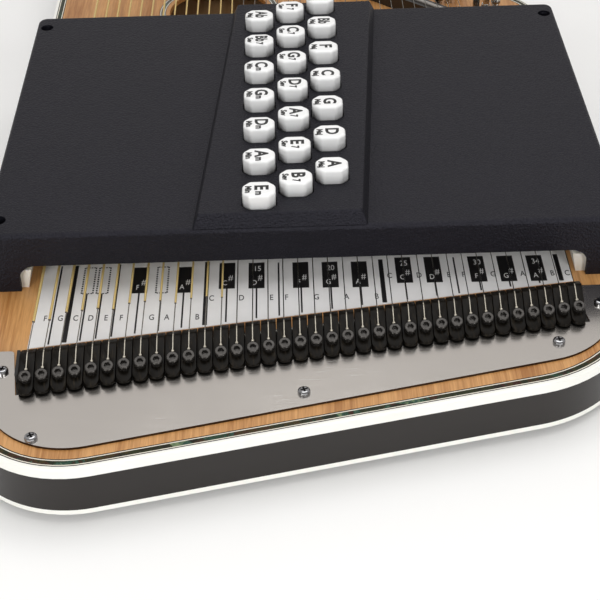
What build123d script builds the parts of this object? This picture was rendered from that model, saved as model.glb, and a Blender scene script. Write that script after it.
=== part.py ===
from build123d import *
import math
import os

# Chorded zither (autoharp) lying on its back, in millimetres.
# X runs across the strings (bass at -X), Y along them (anchor end at -Y), Z up from the feet.

# ---- body
BODY_WIDTH = 304.0
BODY_LENGTH = 572.0
BODY_DEPTH = 26.0
FOOT_HEIGHT = 5.0
TREBLE_SIDE_END = 117.0          # where the treble side turns into the diagonal
DIAGONAL_SLOPE = 42.8            # degrees from the X axis
ANCHOR_SLANT = 12.3              # degrees, lower end of the body
BASS_ANCHOR_RADIUS = 50.0
TREBLE_ANCHOR_RADIUS = 64.0
DIAGONAL_RADIUS = 40.0
PIN_END_RADIUS = 36.0
SOUNDBOARD_THICKNESS = 3.0
BACK_THICKNESS = 2.5
RAIL_WIDTH = 14.0
BLOCK_REACH = 8.0                # anchor block beyond the fine tuners
PIN_BLOCK_REACH = 10.0           # pin block on the string side of the bridge
BRACE_WIDTH = 8.0
BRACE_HEIGHT = 12.0
BRACE_OFFSETS = (143.0, 279.0)   # from the fine tuners at the first string
BINDING_WIDTH = 2.0
TOP_BINDING_HEIGHT = 5.1
BINDING_ROUND = 0.8
PURFLING_DEPTH = 0.8
PURFLING_LINE = 0.5
ABALONE_WIDTH = 2.3

# ---- sound hole
HOLE_RADIUS = 31.0
HOLE_X = -47.5
HOLE_OFFSET = 339.0              # from the fine tuners at the first string
ROSETTE_GAP = 2.5
ROSETTE_WIDTH = 4.0

# ---- strings
STRING_NOTES = ("F G C D E F F# G A A# B C C# D D# E F F# G G# A A# B "
                "C C# D D# E F F# G G# A A# B C").split()
STRING_PITCH = 7.0
WOUND_COUNT = 13
CORE_RADIUS = 0.25
WOUND_RADIUS_FIRST = 0.65
WOUND_RADIUS_LAST = 0.45
PLAIN_RADIUS_FIRST = 0.26
PLAIN_RADIUS_LAST = 0.20
WINDING_STARTS = (21, 21, 25, 25, 25, 23, 26, 26, 25, 22, 24, 24, 22)
WINDING_PAST_SADDLE = 0.4        # share of the way from saddle to pin
STRING_START = 0.6               # string starts this far past the crest of its lever
STRING_CLEARANCE = 0.12

# ---- fine tuners
TUNER_SETBACK = 72.8             # tuner front from the body edge, at the first string
TUNER_SLANT = 8.56
LEVER_GAP = 0.4                  # between neighbouring levers
LEVER_WIDTH = STRING_PITCH - LEVER_GAP
LEVER_FRONT_HEIGHT = 8.5
LEVER_CREST_BACK = 5.0
LEVER_CREST_HEIGHT = 10.5
LEVER_CREST_ROUND = 3.0
LEVER_LENGTH = 23.6
LEVER_SLOPE = 21.8
LEVER_FLOOR = 2.0                # underside of the lever above the soundboard
LEVER_LIP_FLOOR = 1.6
LEVER_LIP = 1.2
LEVER_WEB_BACK = 6.4
LEVER_WEB_RISE = 0.35            # underside of the lever above the pivot axis
PIVOT_BACK = 3.6
PIVOT_HEIGHT = 3.4
PIVOT_RADIUS = 1.5
RUNNING_CLEARANCE = 0.06
BED_CLEARANCE = 0.02
SCREW_BACK = 16.5
SCREW_RADIUS = 1.5
SCREW_HEAD_RADIUS = 2.75
SCREW_HEAD_HEIGHT = 3.0
SCREW_LENGTH = 11.0
SCREW_SEAT_GAP = 0.15
SCREW_LEVER_HOLE = 2.0
HEX_SOCKET = 2.5
HEX_DEPTH = 1.6
BALL_BACK = 12.6
BALL_RADIUS = 0.7
BALL_HOLE_RADIUS = 0.95
TAIL_RADIUS = 0.25
TUNER_BASE_DEPTH = 8.0
TUNER_BASE_TOP = 1.0
TUNER_BASE_LENGTH = 20.6
TUNER_BASE_BASS_END = 7.2        # base beyond the outer strings, along the tuner line
TUNER_BASE_TREBLE_END = 1.9
TUNER_RAIL_WIDTH = 4.0
SLOT_CLEARANCE = 0.15

# ---- anchor cover plate
PLATE_THICKNESS = 1.2
PLATE_SIDE_INSET = 12.2
PLATE_EDGE_OFFSET = 11.6         # from the body edge at the first string
PLATE_SLANT = 12.8
PLATE_BASS_RADIUS = 38.0
PLATE_TREBLE_RADIUS = 40.0
PLATE_GAP = 0.4                  # between plate cut-out and tuner base
BASS_EAR = 7.8                   # ear tops beyond the tuner front at the first string
TREBLE_EAR = 43.5
EAR_RADIUS = 2.0
PLATE_SCREW_SPACING = 114.0
PLATE_SCREW_SHIFT = -2.6
PLATE_SCREW_INSETS = (10.6, 8.2, 10.6)
EAR_SCREW_INSET = 5.2
EAR_SCREW_DROP = 14.0
PAN_HEAD_RADIUS = 2.8
PAN_HEAD_HEIGHT = 2.0
WOOD_SCREW_RADIUS = 1.6
PLATE_SCREW_LENGTH = 14.0
SCREW_HOLE_CLEARANCE = 0.05

# ---- note label
LABEL_THICKNESS = 0.3
LABEL_GAP = 10.9                 # label edge beyond the tuner front
LABEL_MARGIN = 3.5
LABEL_TOP = 106.0

# ---- bridge and tuning pins
BRIDGE_MARGIN = 62.0
BRIDGE_OFFSET = 57.5
BRIDGE_WIDTH = 9.0
BRIDGE_OVERHANG = 8.0
ROD_RADIUS = 1.5
ROD_END_GAP = 1.0
PIN_RADIUS = 2.5
PIN_HOLE_CLEARANCE = 0.05
PIN_DEPTH = 19.0
PIN_TOP = 17.0
PIN_SQUARE = 3.8
PIN_SQUARE_LENGTH = 9.0
PIN_FIRST_ROW = 18.0
PIN_ROW_STEP = 13.0
COIL_TOP = 6.4
COIL_TURNS = 3

# ---- chord bars
CHORDS = ("Em B7 A Am E7 D Dm A7 G Gm D7 C Cm G7 F Bb7 C7 Bb Ab F7 Eb").split()
BAR_PITCH = 9.7
BAR_WIDTH = 7.0
BAR_HEIGHT = 8.5
BAR_BOTTOM = 18.0
FELT_THICKNESS = 3.0
FELT_BACKING = 1.0
FELT_WIDTH = 5.6
FELT_END = 3.6
BUTTON_COLUMN_PITCH = 17.2
BUTTON_MIDDLE_X = -3.2
BUTTON_X = 15.5
BUTTON_Y = 12.4
BUTTON_PROUD = 7.5
BUTTON_SKIRT = 5.5
BUTTON_CORNER = 3.4
BUTTON_BEVEL = 1.0
STEM_X = 6.0
STEM_Y = 5.0

# ---- bar holders
HOLDER_BASS_GAP = 8.5            # holder foot to the outer string
HOLDER_TREBLE_GAP = 5.7
HOLDER_FLARE = 2.2
HOLDER_FLARE_HEIGHT = 10.0
HOLDER_WIDTH = 7.5
HOLDER_HEIGHT = 24.0
HOLDER_LUG = 5.2
HOLDER_END_GAP = 0.6             # between holder and cover wall
HOLDER_LUG_HEIGHT = 10.0
SLOT_DEPTH = 5.0
SLOT_SIDE = 0.2
SLOT_FLOOR = 8.0
BAR_END_GAP = 0.5
SPRING_RADIUS = 2.1
SPRING_WIRE = 0.6
HOLDER_SCREW_RADIUS = 1.1
HOLDER_SCREW_HEAD = 2.0
HOLDER_SCREW_HEAD_HEIGHT = 1.4
HOLDER_SCREW_LENGTH = 18.0

# ---- chord bar cover
COVER_SETBACK = 53.3             # front wall beyond the tuner front at the first string
COVER_FIRST_BAR = 12.5
COVER_SIDE_INSET = 3.6
COVER_HEIGHT = 32.0
COVER_WALL = 2.5
COVER_RAISE = 6.5
COVER_ROUND = 2.4
COVER_CORNER = 5.0
RAISED_WIDTH = 81.0
RAISED_SKEW = 4.3
RAISED_FRONT_SET = 1.0
RAISED_X = -3.0
RAISED_DRAFT = 22.0              # degrees of slope on the raised panel's sides
RAISED_ROUND = 1.2
ARCH_HEIGHT = 14.5
ARCH_ROUND = 8.0
BASS_FOOT = 11.6                 # foot's inner edge from the outer string
TREBLE_FOOT = 10.0
BUTTON_HOLE_CLEARANCE = 0.5
STOP_RIB_WIDTH = 2.0
STOP_RIB_GAP = 0.1
BOSS_RADIUS = 4.4
BOSS_SINK = 0.8                  # how far a boss runs into the side wall
BOSS_FLOOR = 6.0
BOSS_BORE = 3.5
BOSS_END = 13.0
COVER_SCREW_LENGTH = 18.0

# ---- feet
FOOT_RADIUS = 9.0
FOOT_INSET = 12.0                # from the binding
FOOT_ROUND = 1.0
FOOT_SCREW_RADIUS = 1.5
FOOT_SCREW_HEAD = 3.2
FOOT_SCREW_HEAD_HEIGHT = 1.6
FOOT_SCREW_FLOOR = 2.0
FOOT_SCREW_LENGTH = 15.0

UP = (0, 0, 1)
TOP = FOOT_HEIGHT + BODY_DEPTH                      # upper face of the soundboard
SOUNDBOARD_UNDER = TOP - SOUNDBOARD_THICKNESS
BACK_TOP = FOOT_HEIGHT + BACK_THICKNESS
STRINGS = len(STRING_NOTES)


def tan(degrees):
    return math.tan(math.radians(degrees))


def string_x(i):
    return (i - (STRINGS - 1) / 2) * STRING_PITCH


FIRST_X = string_x(0)
LAST_X = string_x(STRINGS - 1)
BASS_CORNER_DROP = BASS_ANCHOR_RADIUS * (1 / tan((90 - ANCHOR_SLANT) / 2) - 1)
ANCHOR_CORNER_Y = -BODY_LENGTH / 2 - BASS_CORNER_DROP


def anchor_edge_y(x):
    return ANCHOR_CORNER_Y + (x + BODY_WIDTH / 2) * tan(ANCHOR_SLANT)


TUNER_Y = anchor_edge_y(FIRST_X) + TUNER_SETBACK
TUNER_PLANE = Plane(origin=(FIRST_X, TUNER_Y, TOP),
                    x_dir=(1, tan(TUNER_SLANT), 0), z_dir=UP)
COVER_FRONT = TUNER_Y + COVER_SETBACK
FIRST_BAR_Y = COVER_FRONT + COVER_FIRST_BAR
COVER_BACK = FIRST_BAR_Y + (len(CHORDS) - 1) * BAR_PITCH + COVER_FIRST_BAR
PIN_END = BODY_LENGTH / 2
DIAGONAL_TURN_X = BODY_WIDTH / 2 - (PIN_END - TREBLE_SIDE_END) / tan(DIAGONAL_SLOPE)


def tuner_y(x):
    return TUNER_Y + (x - FIRST_X) * tan(TUNER_SLANT)


def tuner_along(x, back):
    """Distance along the tuner line of a point at x, that far behind the tuner front."""
    slant = math.radians(TUNER_SLANT)
    return (x - FIRST_X - back * math.sin(slant)) / math.cos(slant)


def crest_top():
    half_turn = math.radians(LEVER_SLOPE)
    return LEVER_CREST_HEIGHT - LEVER_CREST_ROUND * (1 / math.cos(half_turn) - 1)


def lever_top(back):
    """Height of the lever's sloping rear face at a distance behind its front."""
    return LEVER_CREST_HEIGHT - (back - LEVER_CREST_BACK) * tan(LEVER_SLOPE)


def slab(face, bottom, top):
    return extrude(Pos(0, 0, bottom) * face, amount=top - bottom, dir=UP)


def block(x, y, z):
    """Box from three (low, high) pairs."""
    size = [b - a for a, b in (x, y, z)]
    middle = [(a + b) / 2 for a, b in (x, y, z)]
    return Pos(*middle) * Box(*size)


def rod(start, stop, radius):
    """Round bar between two points."""
    way = Vector(*stop) - Vector(*start)
    place = Plane(origin=start, z_dir=way)
    return place.location * Cylinder(radius, way.length, align=(Align.CENTER, Align.CENTER, Align.MIN))


def upright(x, y, bottom, top, radius):
    return rod((x, y, bottom), (x, y, top), radius)


def polygon(*points):
    return make_face(Polyline(*points, close=True))


def save(name, shapes):
    """Write one node; a list of shapes stays a group of separate solids."""
    if isinstance(shapes, (list, tuple)):
        solids = [s for shape in shapes for s in shape.solids()]
    else:
        solids = list(shapes.solids())
    shape = solids[0] if len(solids) == 1 else Compound(children=solids)
    export_step(shape, f"parts/{name}.step")


# ---------------------------------------------------------------- body
def outline(inset=0.0):
    left, right = -BODY_WIDTH / 2, BODY_WIDTH / 2
    corners = ((left, ANCHOR_CORNER_Y), (right, anchor_edge_y(right)), (right, TREBLE_SIDE_END),
               (DIAGONAL_TURN_X, PIN_END), (left, PIN_END))
    radii = (BASS_ANCHOR_RADIUS, TREBLE_ANCHOR_RADIUS, DIAGONAL_RADIUS, DIAGONAL_RADIUS,
             PIN_END_RADIUS)
    face = polygon(*corners)
    for corner, radius in zip(corners, radii):
        vertex = min(face.vertices(), key=lambda v: (v.center() - Vector(*corner, 0)).length)
        face = fillet(vertex, radius)
    if inset:
        face = offset(face, amount=-inset)
    return face


def bridge_points():
    """Bass end, bend and treble end of the bridge line."""
    flat_y = PIN_END - BRIDGE_MARGIN
    slope = tan(DIAGONAL_SLOPE)
    rise = BRIDGE_OFFSET / math.cos(math.radians(DIAGONAL_SLOPE))
    bend_x = DIAGONAL_TURN_X + (PIN_END - rise - flat_y) / slope
    end_x = LAST_X + BRIDGE_OVERHANG
    end_y = flat_y - (end_x - bend_x) * slope
    return (FIRST_X - BRIDGE_OVERHANG, flat_y), (bend_x, flat_y), (end_x, end_y)


def bridge_y(x):
    _, bend, end = bridge_points()
    return bend[1] - max(0.0, x - bend[0]) * tan(DIAGONAL_SLOPE)


def pin_centre(i):
    reach = PIN_RADIUS + PIN_HOLE_CLEARANCE + core_radius(i)
    x = string_x(i) + reach
    return x, bridge_y(string_x(i)) + PIN_FIRST_ROW + PIN_ROW_STEP * (i % 3)


def core_radius(i):
    if i < WOUND_COUNT:
        return CORE_RADIUS
    share = (i - WOUND_COUNT) / (STRINGS - 1 - WOUND_COUNT)
    return PLAIN_RADIUS_FIRST + share * (PLAIN_RADIUS_LAST - PLAIN_RADIUS_FIRST)


def anchor_region():
    far = BODY_WIDTH
    low = -BODY_LENGTH
    left, right = tuner_y(-far) + BLOCK_REACH, tuner_y(far) + BLOCK_REACH
    return polygon((-far, low), (far, low), (far, right), (-far, left))


def pin_region():
    _, bend, _ = bridge_points()
    slope = math.radians(DIAGONAL_SLOPE)
    bend_x = bend[0] - PIN_BLOCK_REACH * math.tan(slope / 2)
    low = bend[1] - PIN_BLOCK_REACH
    far = BODY_WIDTH
    return polygon((-far, low), (bend_x, low), (far, low - (far - bend_x) * math.tan(slope)),
                   (far, BODY_LENGTH), (-far, BODY_LENGTH))


def frame_member(region):
    """Part of the rim between back and soundboard, rebated for the top binding."""
    lower = slab(outline() & region, BACK_TOP, TOP - TOP_BINDING_HEIGHT)
    upper = slab(outline(BINDING_WIDTH) & region, TOP - TOP_BINDING_HEIGHT, SOUNDBOARD_UNDER)
    return lower + upper


def rail_region(left, right):
    strip = polygon((left, -BODY_LENGTH), (right, -BODY_LENGTH), (right, BODY_LENGTH),
                    (left, BODY_LENGTH))
    return strip - anchor_region() - pin_region()


def ring(outer, inner, bottom, top):
    return slab(outline(outer) - outline(inner), bottom, top)


PURFLING_EDGES = [BINDING_WIDTH]
for line_width in (PURFLING_LINE, PURFLING_LINE, ABALONE_WIDTH, PURFLING_LINE, PURFLING_LINE):
    PURFLING_EDGES.append(PURFLING_EDGES[-1] + line_width)
HOLE_Y = TUNER_Y + HOLE_OFFSET


def purfling_ring(index):
    return ring(PURFLING_EDGES[index], PURFLING_EDGES[index + 1], TOP - PURFLING_DEPTH, TOP)


def rosette():
    inner = HOLE_RADIUS + ROSETTE_GAP
    band = Circle(inner + ROSETTE_WIDTH) - Circle(inner)
    return Pos(HOLE_X, HOLE_Y) * slab(band, TOP - PURFLING_DEPTH, TOP)


# ---------------------------------------------------------------- screw places
def plate_edge_y(x):
    return anchor_edge_y(FIRST_X) + PLATE_EDGE_OFFSET + (x - FIRST_X) * tan(PLATE_SLANT)


def plate_screw_places():
    side = BODY_WIDTH / 2 - PLATE_SIDE_INSET - EAR_SCREW_INSET
    places = [(-side, TUNER_Y + BASS_EAR - EAR_SCREW_DROP),
              (side, TUNER_Y + TREBLE_EAR - EAR_SCREW_DROP)]
    for step, inset in enumerate(PLATE_SCREW_INSETS):
        x = (step - 1) * PLATE_SCREW_SPACING + PLATE_SCREW_SHIFT
        places.append((x, plate_edge_y(x) + inset))
    return places


def cover_screw_places():
    side = BODY_WIDTH / 2 - COVER_SIDE_INSET - COVER_WALL - BOSS_RADIUS + BOSS_SINK
    ends = (COVER_FRONT + BOSS_END, COVER_BACK - BOSS_END)
    return [(x, y) for x in (-side, side) for y in ends]


def holder_sides():
    """Inner foot face and outward direction of the bass and the treble bar holder."""
    return (FIRST_X - HOLDER_BASS_GAP, -1), (LAST_X + HOLDER_TREBLE_GAP, 1)


HOLDER_FRONT = COVER_FRONT + COVER_WALL + HOLDER_END_GAP
HOLDER_BACK = COVER_BACK - COVER_WALL - HOLDER_END_GAP


def holder_screw_places():
    places = []
    for foot, out in holder_sides():
        x = foot + out * (HOLDER_WIDTH - HOLDER_FLARE) / 2
        places += [(x, HOLDER_FRONT + HOLDER_LUG / 2), (x, HOLDER_BACK - HOLDER_LUG / 2)]
    return places


def foot_places():
    inset = FOOT_RADIUS + BINDING_WIDTH + FOOT_INSET
    left, right = -BODY_WIDTH / 2 + inset, BODY_WIDTH / 2 - inset
    return [(left, TUNER_Y - inset), (right, tuner_y(right) - inset),
            (left, PIN_END - inset), (right - inset, bridge_y(right - inset) + inset)]


def pilot_holes(bottom):
    """Holes for every wood screw that enters the soundboard from above."""
    clear = SCREW_HOLE_CLEARANCE
    holes = [upright(x, y, bottom, TOP + 1, WOOD_SCREW_RADIUS + clear)
             for x, y in plate_screw_places() + cover_screw_places()]
    holes += [upright(x, y, bottom, TOP + 1, HOLDER_SCREW_RADIUS + clear)
              for x, y in holder_screw_places()]
    return holes


def pin_holes(bottom):
    return [upright(*pin_centre(i), bottom, TOP + 1, PIN_RADIUS + PIN_HOLE_CLEARANCE)
            for i in range(STRINGS)]


def foot_holes():
    return [upright(x, y, FOOT_HEIGHT - 1, BACK_TOP + FOOT_SCREW_LENGTH,
                    FOOT_SCREW_RADIUS + SCREW_HOLE_CLEARANCE) for x, y in foot_places()]


# ---------------------------------------------------------------- fine tuners
def tuner_sweep(face, start, stop):
    """Sweep a (back-to-front, up) section along the slanted tuner line."""
    section = Pos(start, 0, 0) * (Plane.YZ * face)
    return TUNER_PLANE.location * extrude(section, amount=stop - start, dir=(1, 0, 0))


def tuner_plan(front, back, margin):
    """Rectangle square to the tuner line that the tuner base fills, with that much room round it."""
    start = -TUNER_BASE_BASS_END - margin
    stop = tuner_along(LAST_X, 0) + TUNER_BASE_TREBLE_END + margin
    corners = [(start, -back), (stop, -back), (stop, front), (start, front)]
    return polygon(*[TUNER_PLANE.from_local_coords(Vector(*c, -TOP)) for c in corners])


def pivot(radius, margin):
    start = tuner_along(FIRST_X - margin, PIVOT_BACK)
    stop = tuner_along(LAST_X + margin, PIVOT_BACK)
    line = rod((start, -PIVOT_BACK, PIVOT_HEIGHT), (stop, -PIVOT_BACK, PIVOT_HEIGHT), radius)
    return TUNER_PLANE.location * line


def screw_plane(i):
    """Plane on the lever's slope at screw i, its Z along the screw, pointing out."""
    along = tuner_along(string_x(i), SCREW_BACK)
    seat = TUNER_PLANE.from_local_coords(Vector(along, -SCREW_BACK, lever_top(SCREW_BACK)))
    slope = math.radians(LEVER_SLOPE)
    out = TUNER_PLANE.from_local_coords(Vector(0, -math.sin(slope), math.cos(slope)))
    return Plane(origin=seat, x_dir=TUNER_PLANE.x_dir, z_dir=out - TUNER_PLANE.origin)


def ball_point(i, lift):
    """Point over the ball hole of string i, that far above the lever's slope."""
    along = tuner_along(string_x(i), BALL_BACK)
    height = lever_top(BALL_BACK) + lift / math.cos(math.radians(LEVER_SLOPE))
    return TUNER_PLANE.from_local_coords(Vector(along, -BALL_BACK, height))


def lever_section():
    rear = LEVER_LENGTH + LEVER_WIDTH / 2
    points = ((0, LEVER_LIP_FLOOR), (0, LEVER_FRONT_HEIGHT), (-LEVER_CREST_BACK, LEVER_CREST_HEIGHT),
              (-rear, lever_top(rear)), (-rear, LEVER_FLOOR), (-LEVER_WEB_BACK, LEVER_FLOOR),
              (-LEVER_WEB_BACK, PIVOT_HEIGHT + LEVER_WEB_RISE), (-LEVER_LIP, PIVOT_HEIGHT + LEVER_WEB_RISE),
              (-LEVER_LIP, LEVER_LIP_FLOOR))
    face = polygon(*points)
    crest = max(face.vertices(), key=lambda v: v.Y)
    return fillet(crest, LEVER_CREST_ROUND)


def levers():
    margin = LEVER_LENGTH
    sweep = tuner_sweep(lever_section(), -margin, tuner_along(LAST_X, 0) + margin)
    sweep -= pivot(PIVOT_RADIUS + RUNNING_CLEARANCE, margin)
    shapes = []
    for i in range(STRINGS):
        x, front = string_x(i), tuner_y(string_x(i))
        end = front - LEVER_LENGTH + LEVER_WIDTH / 2
        plan = polygon((x - LEVER_WIDTH / 2, end), (x + LEVER_WIDTH / 2, end),
                       (x + LEVER_WIDTH / 2, front + 2), (x - LEVER_WIDTH / 2, front + 2))
        plan += Pos(x, end) * Circle(LEVER_WIDTH / 2)
        lever = sweep & slab(plan, TOP, TOP + LEVER_CREST_HEIGHT + 1)
        place = screw_plane(i)
        lever -= place.location * Cylinder(SCREW_LEVER_HOLE, 20)
        lever -= rod(ball_point(i, -1.6), ball_point(i, 1.0), BALL_HOLE_RADIUS)
        shapes.append(lever)
    return shapes


def tuner_screw(i):
    head = Cylinder(SCREW_HEAD_RADIUS, SCREW_HEAD_HEIGHT, align=(Align.CENTER, Align.CENTER, Align.MIN))
    head = chamfer(head.edges().group_by(Axis.Z)[-1], 0.3)
    socket = extrude(RegularPolygon(HEX_SOCKET / 2, 6, major_radius=False), amount=HEX_DEPTH)
    head -= Pos(0, 0, SCREW_HEAD_HEIGHT - HEX_DEPTH) * socket
    shank = Pos(0, 0, -SCREW_LENGTH / 2) * Cylinder(SCREW_RADIUS, SCREW_LENGTH)
    return screw_plane(i).location * Pos(0, 0, SCREW_SEAT_GAP) * (head + shank)


def tuner_base():
    base = slab(tuner_plan(0, TUNER_BASE_LENGTH, 0), TOP - TUNER_BASE_DEPTH,
                TOP + TUNER_BASE_TOP)
    rail = polygon((-PIVOT_BACK - TUNER_RAIL_WIDTH / 2, TUNER_BASE_TOP),
                   (-PIVOT_BACK + TUNER_RAIL_WIDTH / 2, TUNER_BASE_TOP),
                   (-PIVOT_BACK + TUNER_RAIL_WIDTH / 2, PIVOT_HEIGHT),
                   (-PIVOT_BACK - TUNER_RAIL_WIDTH / 2, PIVOT_HEIGHT))
    margin = LEVER_WIDTH / 2
    base += tuner_sweep(rail, tuner_along(FIRST_X - margin, PIVOT_BACK),
                        tuner_along(LAST_X + margin, PIVOT_BACK))
    base -= pivot(PIVOT_RADIUS + BED_CLEARANCE, 2 * margin)
    for i in range(STRINGS):
        hole = Cylinder(SCREW_RADIUS + SCREW_HOLE_CLEARANCE, 2 * SCREW_LENGTH + 2)
        base -= screw_plane(i).location * hole
    return base


def tuner_slot(bottom):
    plan = tuner_plan(SLOT_CLEARANCE, TUNER_BASE_LENGTH + SLOT_CLEARANCE, SLOT_CLEARANCE)
    return slab(plan, bottom, TOP + 1)


def string_end(i):
    lift = TAIL_RADIUS + STRING_CLEARANCE
    slope = math.radians(LEVER_SLOPE)
    start_back = LEVER_CREST_BACK + LEVER_CREST_ROUND * math.sin(slope)
    rise = lift / math.cos(slope)
    along = tuner_along(string_x(i), start_back)
    start = TUNER_PLANE.from_local_coords(Vector(along, -start_back, lever_top(start_back) + rise))
    return rod(start, ball_point(i, lift), TAIL_RADIUS) + Pos(*ball_point(i, lift)) * Sphere(BALL_RADIUS)


# ---------------------------------------------------------------- strings, bridge and pins
def string(i):
    x = string_x(i)
    core = core_radius(i)
    wound = i < WOUND_COUNT
    share = i / (WOUND_COUNT - 1)
    outer = WOUND_RADIUS_FIRST + share * (WOUND_RADIUS_LAST - WOUND_RADIUS_FIRST) if wound else core
    nose = tuner_y(x) - LEVER_CREST_BACK / math.cos(math.radians(TUNER_SLANT))
    start = Vector(x, nose + STRING_START, TOP + crest_top() + STRING_CLEARANCE + core)
    over = Vector(x, bridge_y(x), TOP + crest_top() + STRING_CLEARANCE + outer)
    pin_x, pin_y = pin_centre(i)
    coil_height = 2 * core * COIL_TURNS
    coil_top = TOP + COIL_TOP
    finish = Vector(x, pin_y, coil_top - core)
    shape = rod(start, over, core) + rod(over, finish, core) + Pos(*over) * Sphere(core)
    if wound:
        share = WINDING_STARTS[i] / (over.Y - start.Y)
        winding_start = start + (over - start) * share
        winding_end = over + (finish - over) * WINDING_PAST_SADDLE
        shape += rod(winding_start, over, outer) + rod(over, winding_end, outer)
        shape += Pos(*over) * Sphere(outer)
    inner = PIN_RADIUS + PIN_HOLE_CLEARANCE
    coil = Cylinder(inner + 2 * core, coil_height) - Cylinder(inner, coil_height)
    shape += Pos(pin_x, pin_y, coil_top - coil_height / 2) * coil
    return shape


def tuning_pin(i):
    x, y = pin_centre(i)
    body = upright(x, y, TOP - PIN_DEPTH, TOP + PIN_TOP - PIN_SQUARE_LENGTH, PIN_RADIUS)
    square = Box(PIN_SQUARE, PIN_SQUARE, PIN_SQUARE_LENGTH, align=(Align.CENTER, Align.CENTER, Align.MIN))
    square = chamfer(square.edges().group_by(Axis.Z)[-1], 0.5)
    return body + Pos(x, y, TOP + PIN_TOP - PIN_SQUARE_LENGTH) * square


def bridge_rods():
    bass, bend, treble = bridge_points()
    height = TOP + crest_top() - ROD_RADIUS
    slope = math.radians(DIAGONAL_SLOPE)
    flat = rod((*bass, height), (bend[0] - ROD_END_GAP, bend[1], height), ROD_RADIUS)
    corner = (bend[0] + ROD_END_GAP * math.cos(slope), bend[1] - ROD_END_GAP * math.sin(slope), height)
    return [flat, rod(corner, (*treble, height), ROD_RADIUS)]


def bridge_base():
    height = TOP + crest_top() - ROD_RADIUS
    base = slab(trace(Polyline(*bridge_points()), line_width=BRIDGE_WIDTH), TOP, height)
    bass, bend, treble = bridge_points()
    for start, stop in ((bass, bend), (bend, treble)):
        way = (Vector(*stop, 0) - Vector(*start, 0)).normalized() * BRIDGE_OVERHANG
        first = Vector(*start, height) - way
        last = Vector(*stop, height) + way
        base -= rod(tuple(first), tuple(last), ROD_RADIUS + BED_CLEARANCE)
    return base


# ---------------------------------------------------------------- plate and label
def anchor_plate():
    side = BODY_WIDTH / 2 - PLATE_SIDE_INSET
    bass_top, treble_top = TUNER_Y + BASS_EAR, TUNER_Y + TREBLE_EAR
    corners = ((-side, plate_edge_y(-side)), (side, plate_edge_y(side)))
    face = polygon(*corners, (side, treble_top), (-side, treble_top))
    for corner, radius in zip(corners, (PLATE_BASS_RADIUS, PLATE_TREBLE_RADIUS)):
        vertex = min(face.vertices(), key=lambda v: (v.center() - Vector(*corner, 0)).length)
        face = fillet(vertex, radius)
    far = treble_top + 10
    face -= tuner_plan(BODY_WIDTH, TUNER_BASE_LENGTH + PLATE_GAP, PLATE_GAP)
    face -= polygon((-side - 1, bass_top), (FIRST_X, bass_top), (FIRST_X, far), (-side - 1, far))
    ears = [v for v in face.vertices() if abs(v.X) < side - 1
            and min(abs(v.Y - bass_top), abs(v.Y - treble_top)) < 0.01]
    face = fillet(ears, EAR_RADIUS)
    plate = slab(face, TOP, TOP + PLATE_THICKNESS)
    for x, y in plate_screw_places():
        plate -= upright(x, y, TOP - 1, TOP + 5, WOOD_SCREW_RADIUS + SCREW_HOLE_CLEARANCE)
    return plate


def note_label():
    left, right = FIRST_X - LABEL_MARGIN, LAST_X + LABEL_MARGIN
    top = TUNER_Y + LABEL_TOP
    face = polygon((left, tuner_y(left) + LABEL_GAP), (right, tuner_y(right) + LABEL_GAP),
                   (right, top), (left, top))
    return slab(face, TOP, TOP + LABEL_THICKNESS)


def pan_screw(x, y, seat, length, radius, head_radius, head_height):
    head = Cylinder(head_radius, head_height, align=(Align.CENTER, Align.CENTER, Align.MIN))
    head = fillet(head.edges().group_by(Axis.Z)[-1], head_height * 0.55)
    for turn in (0, 90):
        bar = Box(head_radius * 1.1, 0.7, head_height)
        head -= Pos(0, 0, head_height) * Rot(0, 0, turn + 20) * bar
    shank = Pos(0, 0, -length / 2) * Cylinder(radius, length)
    return Pos(x, y, seat) * (head + shank)


# ---------------------------------------------------------------- chord bars
NOTE_STEPS = {"C": 0, "D": 2, "E": 4, "F": 5, "G": 7, "A": 9, "B": 11}
CHORD_SHAPES = {"": (0, 4, 7), "m": (0, 3, 7), "7": (0, 4, 7, 10)}


def note_step(name):
    shift = name[1:].count("#") - name[1:].count("b")
    return (NOTE_STEPS[name[0]] + shift) % 12


def damped(chord, i):
    """True where the chord's felt stops string i."""
    quality = chord[-1] if chord[-1] in "m7" else ""
    root = note_step(chord[:len(chord) - len(quality)])
    return (note_step(STRING_NOTES[i]) - root) % 12 not in CHORD_SHAPES[quality]


BAR_LEFT = holder_sides()[0][0] + HOLDER_FLARE - SLOT_DEPTH + BAR_END_GAP
BAR_RIGHT = holder_sides()[1][0] - HOLDER_FLARE + SLOT_DEPTH - BAR_END_GAP


def bar_y(index):
    return FIRST_BAR_Y + index * BAR_PITCH


def felt(index):
    """Felt strip with a pad below each stopped string and a notch over the others."""
    strip, pads = BAR_BOTTOM - FELT_BACKING, BAR_BOTTOM - FELT_THICKNESS
    left, right = FIRST_X - FELT_END, LAST_X + FELT_END
    points = [(left, BAR_BOTTOM), (left, strip)]
    level = strip
    for i in range(STRINGS):
        wanted = pads if damped(CHORDS[index], i) else strip
        if wanted != level:
            x = string_x(i) - STRING_PITCH / 2
            points += [(x, level), (x, wanted)]
            level = wanted
    if level == pads:
        x = LAST_X + STRING_PITCH / 2
        points += [(x, pads), (x, strip)]
    points += [(right, strip), (right, BAR_BOTTOM)]
    face = Plane.XZ * polygon(*points)
    shape = extrude(face, amount=FELT_WIDTH / 2, both=True)
    return Pos(0, bar_y(index), TOP) * shape


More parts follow.
